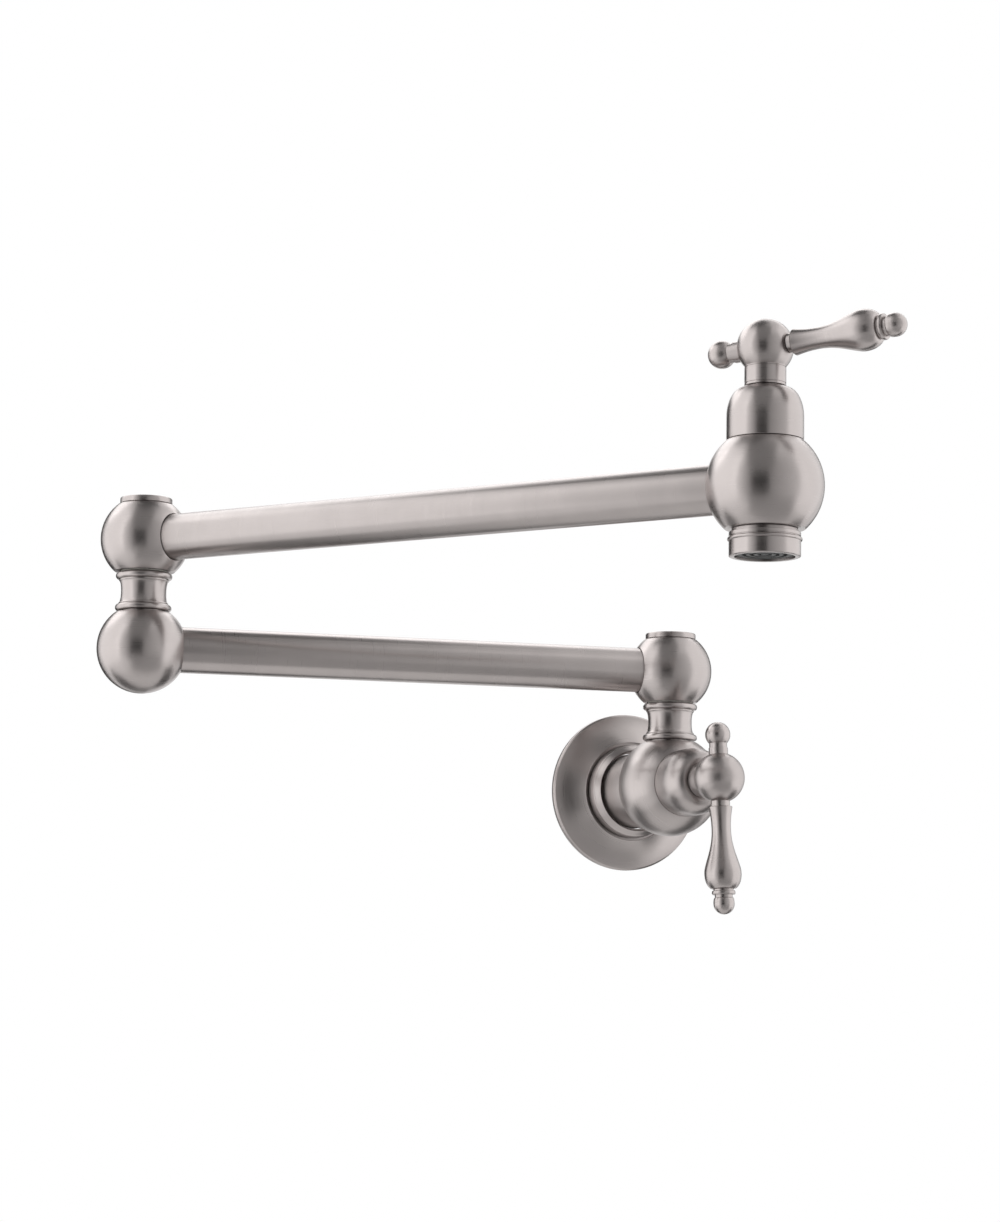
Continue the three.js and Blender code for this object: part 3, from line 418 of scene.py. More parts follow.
def make_flange(wall):
    rim, rim_top, top = wall.flange_radius, wall.rim_height, wall.flange_height
    land, lip, rim_inner = 23.2 * MM, FLANGE_BORE + 2.6 * MM, wall.flange_radius - 2.6 * MM
    metal, groove, bevel = 1.8 * MM, 1.2 * MM, 0.8 * MM
    section = Section(rim_inner, 0).line(
        (rim, 0, 0.2 * MM), (rim, rim_top, 0.3 * MM), (rim - bevel, rim_top + bevel))
    # The hollow face leaves the rim nearly flat and is steep where it meets the land.
    reach, rise = rim - bevel - land, top - rim_top - bevel
    near_rim = (land + 0.6 * reach, top - 0.85 * rise)
    near_land = (land + 0.25 * reach, top - 0.4 * rise)
    section.curve(near_rim, near_land, (land, top - 0.1 * MM), 24)
    section.line((land - 0.1 * MM, top, 0.05 * MM), (land - 0.3 * MM, top, 0.05 * MM),
                 (land - 0.3 * MM, top - groove), (lip, top - groove), (lip, top),
                 (FLANGE_BORE, top, 0.3 * MM), (FLANGE_BORE, top - metal), (land - metal, top - metal))
    section.leaving_upright((rim_inner, rim_top - 0.9 * MM), 16).close()
    hand_over(section.turn("flange", WALL, 160), "wall_valve", "wall_flange")


def make_lock_ring(wall):
    base = wall.flange_height + CLEARANCE
    top = base + wall.lock_ring_height
    outer, cone = wall.lock_ring_radius, top - 2.4 * MM
    section = Section(FLANGE_BORE, base).line(
        (outer, base, 0.3 * MM),
        (outer - 0.6 * MM, cone - 0.6 * MM, 0.15 * MM),
        (outer - 1.2 * MM, cone, 0.15 * MM),
        (FLANGE_BORE + 1.3 * MM, top, 0.2 * MM),
        (FLANGE_BORE + 0.8 * MM, top - 0.5 * MM), (FLANGE_BORE + 0.8 * MM, top - 3.4 * MM),
        (FLANGE_BORE, top - 3.4 * MM)).close()
    piece = section.turn("lock_ring", WALL, 128)
    hand_over(piece, "wall_valve", "flange_lock_ring")


def collar_start(wall):
    """Height on the wall valve's axis at which the collar behind its ball starts."""
    return -height_at(VALVE_BALL, wall.collar_radius + COLLAR_FLARE) - COLLAR_DEPTH


def make_shank(wall):
    end, chamfer = collar_start(wall) - CLEARANCE, 0.6 * MM
    section = Section(INLET, SHANK_BACK + chamfer).line(
        (INLET + chamfer, SHANK_BACK), (wall.shank_radius, SHANK_BACK, 0.4 * MM),
        (wall.shank_radius, end, 0.25 * MM), (INLET, end)).close()
    hand_over(section.turn("shank", WALL_VALVE, 128), "wall_valve", "valve_shank")


def post_seat_cutter(place):
    """Cutter for the flat and the bore that take the foot of a post."""
    seat, outer = height_at(VALVE_BALL, POST_SEAT), POST_SEAT + 3 * MM
    floor, hole = 5 * MM, POST_SPIGOT + CLEARANCE
    return Section(0, floor).line(
        (hole, floor), (hole, seat), (outer, seat), (outer, VALVE_BALL + BEYOND),
        (0, VALVE_BALL + BEYOND)).turn("cutter", place)


def tube_socket_cutter(ball, tube, inward, place):
    """Cutter for the socket of an arm's tube, with a small chamfer at its mouth."""
    hole, chamfer = tube + 0.18 * MM, 0.3 * MM
    mouth = height_at(ball, hole)
    floor = height_at(ball, tube + CLEARANCE) - TUBE_INSERTION
    outer = ball + BEYOND
    return Section(0, inward).line(
        (TUBE_WATERWAY, inward), (TUBE_WATERWAY, floor), (hole, floor), (hole, mouth - chamfer),
        (hole + chamfer, mouth), (hole + chamfer, outer), (0, outer),
    ).turn("cutter", turned_about(place, QUARTER_TURN, "Y"), 128)


def make_valve_body(wall):
    start, seat = collar_start(wall), height_at(VALVE_BALL, BONNET_SEAT)
    spigot, spigot_end = INLET - CLEARANCE, start - BODY_SPIGOT_DEPTH
    section = Section(VALVE_WATERWAY, spigot_end).line(
        (spigot, spigot_end, 0.4 * MM), (spigot, start),
        (wall.collar_radius, start, 0.3 * MM),
        (wall.collar_radius + COLLAR_FLARE, start + COLLAR_DEPTH))
    section.ball(seat)
    section.line((CHAMBER, seat), (CHAMBER, CHAMBER_FLOOR), (VALVE_WATERWAY, CHAMBER_FLOOR)).close()
    piece = bore(section.turn("valve_ball", WALL_VALVE, 160), post_seat_cutter(upright(VALVE_CENTRE)))
    hand_over(piece, "wall_valve", "valve_body")


def make_spout_ball(arms):
    top, bottom = height_at(VALVE_BALL, BONNET_SEAT), -height_at(VALVE_BALL, OUTLET_SEAT)
    socket, socket_top = OUTLET_SPIGOT + CLEARANCE, bottom + OUTLET_SPIGOT_HEIGHT + CLEARANCE
    section = Section(socket, bottom).line((OUTLET_SEAT, bottom))
    section.ball(top, steps=80)
    section.line((CHAMBER, top), (CHAMBER, CHAMBER_FLOOR), (VALVE_WATERWAY, CHAMBER_FLOOR),
                 (VALVE_WATERWAY, socket_top), (socket, socket_top)).close()
    back = turned_about(SPOUT, math.pi, "Z")
    piece = bore(section.turn("spout_ball", SPOUT, 160),
                 tube_socket_cutter(VALVE_BALL, arms.tube_radius, 0, back))
    hand_over(piece, "upper_arm", "spout_body")


# Joints and arms.

def make_post(name, joints, place, ball, ball_seat, body, node):
    base, top = CLEARANCE, CLEARANCE + joints.neck_height
    edge, bead, land, line_depth = 11.2 * MM, 3.2 * MM, 0.75 * MM, 0.3 * MM
    gap, gap_radius = 0.45 * MM, 9 * MM
    shoulder, waist = 10.8 * MM, joints.waist_radius
    centre = top + CLEARANCE + height_at(ball, ball_seat)
    waterway, waterway_top, foot = 4.6 * MM, centre - 3 * MM, -7 * MM
    stem_top = centre + height_at(ball, CAP_SEAT) - CAP_POCKET_DEPTH + CLEARANCE
    screw_hole, screw_floor = 3.3 * MM, stem_top - 7.3 * MM
    section = Section(0, waterway_top).line(
        (waterway, waterway_top), (waterway, foot), (POST_SPIGOT, foot), (POST_SPIGOT, base),
        (gap_radius, base), (gap_radius, base + gap), (edge, base + gap, 0.15 * MM))
    section.bead(joints.bead_radius, (edge, base + bead))
    section.line((shoulder - line_depth, base + bead), (shoulder - line_depth, base + bead + line_depth),
                 (shoulder + 0.1 * MM, base + bead + line_depth, 0.08 * MM),
                 (shoulder, base + bead + land))
    section.leaving_level((waist, (base + top) / 2), 14)
    section.leaving_upright((shoulder, top - bead - land), 14)
    section.line((shoulder + 0.1 * MM, top - bead - line_depth, 0.08 * MM),
                 (shoulder - line_depth, top - bead - line_depth), (shoulder - line_depth, top - bead),
                 (edge, top - bead))
    section.bead(joints.bead_radius, (edge, top - gap))
    section.line((gap_radius, top - gap), (gap_radius, top), (POST_STEM, top),
                 (POST_STEM, stem_top, 0.3 * MM), (screw_hole, stem_top),
                 (screw_hole, screw_floor), (0, screw_floor))
    hand_over(section.turn(name, place), body, node)


def make_turning_ball(name, arms, ball, seat_radius, place, body, node):
    seat, cap_seat = -height_at(ball, seat_radius), height_at(ball, CAP_SEAT)
    pocket, hole = cap_seat - CAP_POCKET_DEPTH, POST_STEM + CLEARANCE
    recess = THRUST_WASHER + CLEARANCE
    section = Section(recess, seat).line((seat_radius, seat))
    section.ball(cap_seat, steps=72)
    section.line((CAP_POCKET, cap_seat), (CAP_POCKET, pocket), (hole, pocket),
                 (hole, GALLERY_HALF_HEIGHT), (GALLERY, GALLERY_HALF_HEIGHT),
                 (GALLERY, -GALLERY_HALF_HEIGHT), (hole, -GALLERY_HALF_HEIGHT),
                 (hole, seat + THRUST_WASHER_DEPTH), (recess, seat + THRUST_WASHER_DEPTH)).close()
    socket = tube_socket_cutter(ball, arms.tube_radius, GALLERY - BEYOND, place)
    hand_over(bore(section.turn(name, place, 144), socket), body, node)


def make_cap(name, joints, ball, place, body, node):
    seat, cap, spigot = height_at(ball, CAP_SEAT), joints.cap_radius, CAP_POCKET - CLEARANCE
    foot, base = seat - 1.5 * MM, seat + CAP_GAP
    top = base + joints.cap_height
    dish = top - 0.1 * MM
    section = Section(0, foot).line(
        (spigot, foot), (spigot, base), (cap, base, 0.15 * MM), (cap, top, 0.6 * MM),
        (cap - 2.2 * MM, top, 0.1 * MM), (cap - 2.5 * MM, dish, 0.1 * MM), (0, dish))
    hand_over(section.turn(name, place), body, node)


def make_elbow_lower_ball(arms):
    seat, hole = height_at(ELBOW_LOWER_BALL, POST_SEAT), POST_SPIGOT + CLEARANCE
    floor = seat - 22 * MM
    section = Section(0, -ELBOW_LOWER_BALL)
    section.ball(seat, steps=88)
    section.line((hole, seat), (hole, floor), (0, floor))
    back = turned_about(ELBOW_LOWER, math.pi, "Z")
    piece = bore(section.turn("elbow_lower_sphere", ELBOW_LOWER, 144),
                 tube_socket_cutter(ELBOW_LOWER_BALL, arms.tube_radius, 0, back))
    hand_over(piece, "lower_arm", "elbow_lower_ball")


def make_tube(name, arms, near_ball, far_ball, place, reach, body, node):
    outer, inner = arms.tube_radius, arms.tube_radius - arms.tube_wall
    grip = TUBE_INSERTION - CLEARANCE
    start = height_at(near_ball, outer + CLEARANCE) - grip
    end = reach - height_at(far_ball, outer + CLEARANCE) + grip
    section = Section(inner, start).line(
        (outer, start, 0.3 * MM), (outer, end, 0.3 * MM), (inner, end)).close()
    hand_over(section.turn(name, turned_about(place, QUARTER_TURN, "Y")), body, node)


# Bonnets and handles.

def make_bonnet(name, bonnets, place, body, node):
    base = height_at(VALVE_BALL, BONNET_SEAT) + CLEARANCE
    top, outer, inner, mouth = base + bonnets.height, bonnets.radius, 13.3 * MM, bonnets.mouth_radius
    shoulder, crown = top - bonnets.shoulder_height, 8.7 * MM
    section = Section(inner, base).line(
        (outer - 0.15 * MM, base, 0.15 * MM), (outer, base + 0.6 * MM), (outer, shoulder))
    section.leaving_upright((crown, top - 0.15 * MM), 20)
    section.line((mouth, top - 0.05 * MM, 0.1 * MM), (mouth, top - 1.5 * MM))
    section.leaving_level((inner, shoulder), 12).close()
    hand_over(section.turn(name, place, 112), body, node)


def stud_hole_cutter(handles, neck, place):
    """Cutter for the stud's hole and the flat that a lever or finial sits on."""
    face, clear = height_at(handles.hub_radius, neck + CLEARANCE), neck + CLEARANCE
    hole, floor = STUD + CLEARANCE, handles.hub_radius - (STUD_DEPTH + CLEARANCE)
    return Section(0, floor).line(
        (hole, floor), (hole, face), (clear, face), (clear, handles.hub_radius + BEYOND),
        (0, handles.hub_radius + BEYOND)).turn("cutter", place, 64)


def set_screw_cutter(handles, place):
    hole, end = SET_SCREW + CLEARANCE, handles.hub_radius + BEYOND
    return Section(0, 0).line((hole, 0), (hole, end), (0, end)).turn("cutter", place, 48)


def grip_place(handle):
    """The tilted axis of a lever and its finial, from the hub's centre."""
    return turned_about(handle @ Matrix.Translation((0, 0, HUB_HEIGHT)), -LEVER_TILT, "Y")


def lever_place(handle):
    return turned_about(grip_place(handle), QUARTER_TURN, "Y")


def finial_place(handle):
    return turned_about(grip_place(handle), -QUARTER_TURN, "Y")


def set_screw_place(handle):
    return turned_about(handle @ Matrix.Translation((0, 0, SET_SCREW_HEIGHT)), -QUARTER_TURN, "Y")


def neck_line(neck, bottom, top):
    """Points of a shallow turned line round the hub's neck, between these heights."""
    depth, slant = 0.22 * MM, 0.1 * MM
    return ((neck, bottom), (neck - depth, bottom + slant), (neck - depth, top - slant), (neck, top))


def make_hub(name, bonnets, handles, handle, body, node):
    hub, neck = handles.hub_radius, handles.hub_neck_radius
    base = height_at(VALVE_BALL, BONNET_SEAT) + CLEARANCE + bonnets.height + CLEARANCE
    gap, gap_radius = 0.4 * MM, neck - 2 * MM
    join = HUB_HEIGHT - height_at(hub, neck)
    section = Section(0, SPINDLE_BORE_TOP).line(
        (SPINDLE_BORE, SPINDLE_BORE_TOP), (SPINDLE_BORE, base), (gap_radius, base),
        (gap_radius, base + gap), (neck, base + gap, 0.1 * MM),
        *neck_line(neck, base + 1.0 * MM, base + 1.5 * MM),
        *neck_line(neck, join - 0.9 * MM, join - 0.35 * MM), (neck, join))
    section.ball(HUB_HEIGHT + hub, HUB_HEIGHT, 56)
    piece = bore(section.turn(name, handle, 112),
                 stud_hole_cutter(handles, handles.lever_neck_radius, lever_place(handle)),
                 stud_hole_cutter(handles, handles.finial_neck_radius, finial_place(handle)),
                 set_screw_cutter(handles, set_screw_place(handle)))
    hand_over(piece, body, node)


def stud(handles, neck):
    """The part of a lever or finial that sits in the hub."""
    root = height_at(handles.hub_radius, neck + CLEARANCE) + CLEARANCE
    inner = handles.hub_radius - STUD_DEPTH
    return Section(0, inner).line((STUD, inner), (STUD, root), (neck, root))


def make_lever(name, handles, handle, body, node):
    neck, root, waist = handles.lever_neck_radius, 5.2 * MM, 4.2 * MM
    bulb, ring, tip = handles.bulb_radius, handles.ring_radius, handles.tip_radius
    ring_edge, ring_half, ring_at = ring - 0.35 * MM, 0.85 * MM, 50.2 * MM
    groove, tip_neck, tip_at = 4.4 * MM, 3.9 * MM, 55.0 * MM
    line, line_start, line_end = neck - 0.8 * MM, 12.3 * MM, 12.7 * MM
    section = stud(handles, neck).line(
        (neck, line_start), (line, line_start), (line, line_end), (root - 0.2 * MM, line_end),
        (root, 13.0 * MM))
    # From the line at the root the lever narrows to its waist and swells into the bulb.
    section.curve((4.7 * MM, 15.4 * MM), (waist, 18.6 * MM), (waist, 22.5 * MM), 10)
    section.curve((waist, 30.5 * MM), (7.0 * MM, 35.5 * MM), (bulb - 0.2 * MM, 40.2 * MM), 20)
    section.curve((8.35 * MM, 42.4 * MM), (8.1 * MM, 46.4 * MM), (5.6 * MM, 48.4 * MM), 14)
    section.line((5.0 * MM, 48.6 * MM), (groove, 48.7 * MM), (groove, ring_at - ring_half),
                 (ring_edge, ring_at - ring_half))
    section.bead(ring, (ring_edge, ring_at + ring_half), 5)
    section.line((tip_neck, ring_at + ring_half), (tip_neck, 52.3 * MM))
    section.curve((4.4 * MM, 52.4 * MM), (tip, 53.2 * MM), (tip, tip_at), 8)
    section.ball(tip_at + tip, tip_at, 28)
    hand_over(section.turn(name, lever_place(handle), 80), body, node)


def make_finial(name, handles, handle, body, node):
    neck, ball, at = handles.finial_neck_radius, handles.finial_radius, 19.0 * MM
    section = stud(handles, neck).line((neck, at - height_at(ball, neck)))
    section.ball(at + ball, at, 36)
    hand_over(section.turn(name, finial_place(handle), 64), body, node)


def make_set_screw(name, handle, body, node):
    inner, outer, place = SPINDLE_BORE, SPINDLE_BORE + SET_SCREW_LENGTH, set_screw_place(handle)
    key_radius, key_floor = 1.0 * MM, outer - SET_SCREW
    piece = Section(0, inner).line(
        (SET_SCREW, inner), (SET_SCREW, outer, 0.2 * MM), (0, outer)).turn(name, place, 40)
    key = Section(0, key_floor).line(
        (key_radius, key_floor), (key_radius, outer + BEYOND), (0, outer + BEYOND),
    ).turn("cutter", place, 6)
    hand_over(bore(piece, key), body, node, "stainless_steel")


# Outlet.

def outlet_shoulder():
    """Height of the collar's shoulder under the spout's ball."""
    return -height_at(VALVE_BALL, OUTLET_SEAT) - CLEARANCE - OUTLET_NECK_HEIGHT


def make_outlet_collar(outlet):
    seat = -height_at(VALVE_BALL, OUTLET_SEAT)
    top, shoulder, rim = seat - CLEARANCE, outlet_shoulder(), outlet_shoulder() - outlet.height
    neck, outer, mouth = 12.8 * MM, outlet.radius, outlet.mouth_radius
    spigot, bore_radius, spigot_top = OUTLET_SPIGOT, OUTLET_SPIGOT - 2.2 * MM, seat + OUTLET_SPIGOT_HEIGHT
    pocket_top, groove_top, groove = rim + 6.8 * MM, shoulder - 1.4 * MM, 0.4 * MM
    section = Section(mouth, rim).line(
        (outer, rim, 0.5 * MM), (outer, shoulder - 3.3 * MM))
    section.bead(outlet.bead_radius, (outer, shoulder - 1.9 * MM), 6)
    section.line((outer - groove, groove_top - groove), (outer - groove, groove_top), (outer, groove_top),
                 (outer, shoulder, 0.15 * MM), (neck, shoulder), (neck, top), (spigot, top),
                 (spigot, spigot_top), (bore_radius, spigot_top), (bore_radius, pocket_top),
                 (mouth, pocket_top)).close()
    hand_over(section.turn("outlet_ring", SPOUT, 144), "upper_arm", "outlet_collar")


def make_aerator(outlet):
    face = outlet_shoulder() - outlet.height + 0.8 * MM
    back, outer, depth, step = face + 4.4 * MM, outlet.mouth_radius - CLEARANCE, 0.7 * MM, 2.9 * MM
    section = Section(0, face)
    for ring in (0.5, 1.5, 2.5):
        inner, edge = ring * step, (ring + 0.5) * step
        section.line((inner, face, 0.15 * MM), (inner, face + depth), (edge, face + depth),
                     (edge, face, 0.15 * MM))
    section.line((outer, face, 0.3 * MM), (outer, back), (0, back))
    hand_over(section.turn("aerator", SPOUT), "upper_arm", "aerator_insert", "aerator_plastic")


# Studio.

# The photograph's camera: turns in degrees, lens and sensor in millimetres, and place in metres.
CAMERA_YAW, CAMERA_PITCH, CAMERA_ROLL = 20.292, 7.469, 0.848
CAMERA_LENS, CAMERA_SENSOR = 88.98, 36.0
CAMERA_PLACE = (-0.5478, -1.3098, -0.1007)
CAMERA_REACH = 20.0
STUDIO_CENTRE = Vector((-0.1, -0.13, 0.05))
FLOOR_WHITENESS = 0.65

# Azimuth and elevation in degrees as seen from STUDIO_CENTRE, distance, width and height in metres, and
# the level at the left and right edge.
CARDS = {
    "Camera flag": (-11, -3, 2.2, 1.26, 1.7, 0.01, 0.01),
    "High front card": (-11, 53, 2.2, 1.8, 3.0, 0.33, 0.33),
    "Left front card": (-45, 0, 2.2, 1.5, 5.0, 1.5, 0.25),
    "Right front card": (35, 0, 2.3, 2.7, 5.0, 0.4, 0.95),
    "Left back flag": (-150, 4, 1.2, 0.7, 1.0, 0.02, 0.02),
    "Right back flag": (157, 8, 1.2, 0.4, 1.3, 0.15, 0.15),
    "Ceiling": (-150, 78, 1.35, 0.8, 0.8, 0.1, 0.1),
    "Low left card": (-80, -42, 1.2, 1.5, 0.7, 1.15, 1.15),
    "Low front card": (18, -48, 0.9, 1.4, 0.85, 0.45, 0.5),
    "Low left flag": (-140, -50, 1.15, 1.2, 0.8, 0.1, 0.1),
    "Low right flag": (140, -50, 1.15, 1.2, 0.8, 0.1, 0.1),
}
# The same five measures, and the share of the side level.
SOFTBOXES = {
    "Back strip light": (-165, 45, 1.5, 2.7, 0.75, 2.4),
    "Left softbox": (-90, 8, 1.5, 1.9, 3.6, 1.2),
    "Right softbox": (97, 8, 1.5, 1.9, 3.6, 0.9),
}


def card_material(name, left, right):
    """Paper that reflects in the metal at a level that changes evenly from its left edge to its right."""
    material, tree = new_material(name)
    spot = add_node(tree, "ShaderNodeUVMap", uv_map="board")
    across = add_node(tree, "ShaderNodeSeparateXYZ", {"Vector": spot.outputs["UV"]})
    level = add_node(tree, "ShaderNodeMapRange", {"Value": across.outputs["X"]},
                     {"To Min": left, "To Max": right})
    glow = add_node(tree, "ShaderNodeEmission", {"Strength": level.outputs["Result"]}, {"Color": WHITE})
    add_node(tree, "ShaderNodeOutputMaterial", {"Surface": glow.outputs["Emission"]})
    return material


def looked_at(tree):
    """1 on what the camera or a reflection sees, and 0 on light that goes on to other things."""
    ray = add_node(tree, "ShaderNodeLightPath")
    mirror = add_node(tree, "ShaderNodeMath", {
        0: ray.outputs["Is Camera Ray"], 1: ray.outputs["Is Glossy Ray"]}, operation="MAXIMUM")
    either = add_node(tree, "ShaderNodeMath", {
        0: mirror.outputs[0], 1: ray.outputs["Is Transmission Ray"]}, operation="MAXIMUM")
    return either.outputs[0]


def floor_material(colour):
    """Matt painted board with the faint mottling of a roller.

    To the camera and in reflections it looks nearly as white as the backdrop.
    """
    specks_in_a_metre, darkest = 250.0, 0.97
    material, tree = new_material("Matt painted board")
    place = add_node(tree, "ShaderNodeTexCoord")
    roller = add_node(tree, "ShaderNodeTexNoise", {"Vector": place.outputs["Object"]},
                      {"Scale": specks_in_a_metre})
    paint = two_shades(tree, roller.outputs["Fac"], darker(colour, darkest), colour)
    surface = add_node(tree, "ShaderNodeBsdfPrincipled", {"Base Color": paint}, {"Roughness": 0.9})
    white = add_node(tree, "ShaderNodeEmission", values={"Color": WHITE, "Strength": 1.0})
    share = add_node(tree, "ShaderNodeMath", {0: looked_at(tree)}, {1: FLOOR_WHITENESS},
                     operation="MULTIPLY")
    mix = add_node(tree, "ShaderNodeMixShader", {
        0: share.outputs[0], 1: surface.outputs["BSDF"], 2: white.outputs["Emission"]})
    add_node(tree, "ShaderNodeOutputMaterial", {"Surface": mix.outputs[0]})
    return material


def view_axes():
    """Right, up and forward of the photograph's camera."""
    yaw, pitch, roll = (math.radians(turn) for turn in (CAMERA_YAW, CAMERA_PITCH, CAMERA_ROLL))
    forward = Vector((math.sin(yaw) * math.cos(pitch), math.cos(yaw) * math.cos(pitch), math.sin(pitch)))
    level = Vector((math.cos(yaw), -math.sin(yaw), 0))
    over = level.cross(forward)
    return (math.cos(roll) * level + math.sin(roll) * over,
            math.cos(roll) * over - math.sin(roll) * level, forward)


def direction(azimuth, elevation):
    """Unit vector from the object, with azimuth 0 towards the camera and positive to its right."""
    right, _, forward = view_axes()
    toward = -Vector((forward.x, forward.y, 0)).normalized()
    side = Vector((right.x, right.y, 0)).normalized()
    turn, rise = math.radians(azimuth), math.radians(elevation)
    level = math.cos(turn) * toward + math.sin(turn) * side
    return math.cos(rise) * level + math.sin(rise) * Vector((0, 0, 1))


def facing_place(azimuth, elevation, distance):
    """Place of a card or lamp that looks at the object from this direction."""
    heading = direction(azimuth, elevation)
    turn = heading.to_track_quat("Z", "Y").to_matrix().to_4x4()
    return Matrix.Translation(STUDIO_CENTRE + distance * heading) @ turn


def set_up(name, mesh, material):
    """Makes a mesh part of the studio."""
    data = bpy.data.meshes.new(name)
    mesh.to_mesh(data)
    mesh.free()
    data.materials.append(material)
    board = bpy.data.objects.new(name, data)
    bpy.context.scene.collection.objects.link(board)
    return board


def make_floor(studio):
    """A round floor that reaches as far as the softboxes light it evenly."""
    mesh = bmesh.new()
    bmesh.ops.create_circle(mesh, cap_ends=True, segments=128, radius=studio.floor_radius)
    bmesh.ops.translate(mesh, vec=(STUDIO_CENTRE.x, STUDIO_CENTRE.y, -studio.floor_drop), verts=mesh.verts)
    set_up("floor", mesh, floor_material(studio.floor_colour))


def make_card(name, azimuth, elevation, distance, width, height, left, right):
    """A card that shows only as a reflection."""
    mesh = bmesh.new()
    mesh.loops.layers.uv.new("board")
    bmesh.ops.create_grid(mesh, x_segments=1, y_segments=1, size=0.5, calc_uvs=True)
    bmesh.ops.scale(mesh, vec=(width, height, 1), verts=mesh.verts)
    bmesh.ops.transform(mesh, matrix=facing_place(azimuth, elevation, distance), verts=mesh.verts)
    card = set_up(name, mesh, card_material(name, left, right))
    card.visible_camera = False
    card.visible_diffuse = False
    card.visible_shadow = False


def make_softbox(name, azimuth, elevation, distance, width, height, radiance):
    lamp = bpy.data.lights.new(name, "AREA")
    lamp.shape = "RECTANGLE"
    lamp.size, lamp.size_y = width, height
    lamp.energy = radiance * math.pi * width * height
    softbox = bpy.data.objects.new(name, lamp)
    softbox.matrix_world = facing_place(azimuth, elevation, distance)
    softbox.visible_camera = False
    bpy.context.scene.collection.objects.link(softbox)


def make_world(studio):
    """White where the camera or a reflection looks past the object, and plain fill for the rest."""
    world = bpy.data.worlds.new("Studio")
    world.use_nodes = True
    tree = world.node_tree
    tree.nodes.clear()
    seen = add_node(tree, "ShaderNodeBackground", values={"Color": WHITE, "Strength": 1.0})
    fill = add_node(tree, "ShaderNodeBackground", values={"Color": WHITE, "Strength": studio.fill})
    mix = add_node(tree, "ShaderNodeMixShader", {
        0: looked_at(tree), 1: fill.outputs[0], 2: seen.outputs[0]})
    add_node(tree, "ShaderNodeOutputWorld", {"Surface": mix.outputs[0]})
    bpy.context.scene.world = world


def make_camera():
    right, up, forward = view_axes()
    camera = bpy.data.cameras.new("Camera")
    camera.lens = CAMERA_LENS
    camera.sensor_width = CAMERA_SENSOR
    camera.clip_end = CAMERA_REACH
    viewpoint = bpy.data.objects.new("Camera", camera)
    turn = Matrix((right, up, -forward)).transposed().to_4x4()
    viewpoint.matrix_world = Matrix.Translation(CAMERA_PLACE) @ turn
    bpy.context.scene.collection.objects.link(viewpoint)
    bpy.context.scene.camera = viewpoint


# Sizes and colours that a user would change.

def length(name, description, millimetres):
    return FloatProperty(name=name, description=description, default=millimetres * MM, min=0.0,
                         precision=5, unit="LENGTH", subtype="DISTANCE")


class FinishSettings(bpy.types.PropertyGroup):
    colour: FloatVectorProperty(name="Colour", description="Colour of the nickel plate", subtype="COLOR",
                                default=hex_linear("#b1aaa8"), min=0.0, max=1.0)
    roughness: FloatProperty(name="Roughness", description="How much the brushing blurs a reflection",
                             default=0.31, min=0.06, max=0.9, subtype="FACTOR")
    anisotropy: FloatProperty(name="Anisotropy",
                              description="How much the brushing smears light along a piece",
                              default=0.6, min=0.0, max=1.0, subtype="FACTOR")
    mark_spacing: length("Mark spacing", "Distance between brush marks as they are drawn", 0.4)
    mark_length: length("Mark length", "Length of a brush mark", 25.0)
    mottle_size: length("Mottle size", "Size of the patches of slightly darker plate", 12.0)


class WallSettings(bpy.types.PropertyGroup):
    flange_radius: length("Flange radius", "Radius of the flange at the wall", 36.5)
    flange_height: length("Flange height", "How far the flange stands from the wall", 9.4)
    rim_height: length("Rim height", "Height of the flange's upright rim", 2.2)
    lock_ring_radius: length("Lock ring radius", "Radius of the ring that holds the flange", 21.8)
    lock_ring_height: length("Lock ring height", "Height of the ring that holds the flange", 7.5)
    shank_radius: length("Shank radius", "Radius of the shank behind the wall valve", 17.3)
    collar_radius: length("Collar radius", "Radius of the collar behind the wall valve's ball", 18.4)


class JointSettings(bpy.types.PropertyGroup):
    neck_height: length("Neck height", "Height of the neck between two balls", 17.6)
    bead_radius: length("Bead radius", "Radius of the beads at both ends of a neck", 12.3)
    waist_radius: length("Waist radius", "Radius of the middle of a neck", 9.85)
    cap_radius: length("Cap radius", "Radius of the cap on a turning ball", 11.4)
    cap_height: length("Cap height", "Height of the cap on a turning ball", 2.5)


class ArmSettings(bpy.types.PropertyGroup):
    tube_radius: length("Tube radius", "Outer radius of both arm tubes", 10.0)
    tube_wall: length("Tube wall", "Thickness of both arm tubes", 1.4)


class BonnetSettings(bpy.types.PropertyGroup):
    radius: length("Radius", "Radius of the bonnet over a cartridge", 15.0)
    height: length("Height", "Height of the bonnet over a cartridge", 20.6)
    shoulder_height: length("Shoulder height", "Height of the bonnet's rounded shoulder", 11.6)
    mouth_radius: length("Mouth radius", "Radius of the hole that the spindle passes", 5.2)


class HandleSettings(bpy.types.PropertyGroup):
    hub_radius: length("Hub radius", "Radius of the ball that carries the lever", 11.1)
    hub_neck_radius: length("Hub neck radius", "Radius of the neck under the hub", 8.1)
    lever_neck_radius: length("Lever neck radius", "Radius of the lever where it enters the hub", 3.9)
    bulb_radius: length("Bulb radius", "Radius of the lever's bulb", 8.15)
    ring_radius: length("Ring radius", "Radius of the ring between bulb and tip", 5.15)
    tip_radius: length("Tip radius", "Radius of the ball at the lever's tip", 4.6)
    finial_neck_radius: length("Finial neck radius", "Radius of the finial where it enters the hub", 3.9)
    finial_radius: length("Finial radius", "Radius of the finial's ball", 5.5)


class OutletSettings(bpy.types.PropertyGroup):
    radius: length("Radius", "Radius of the outlet collar", 13.9)
    height: length("Height", "Height of the outlet collar", 9.4)
    bead_radius: length("Bead radius", "Radius of the collar's bead", 14.5)
    mouth_radius: length("Mouth radius", "Radius of the opening that holds the aerator", 11.8)


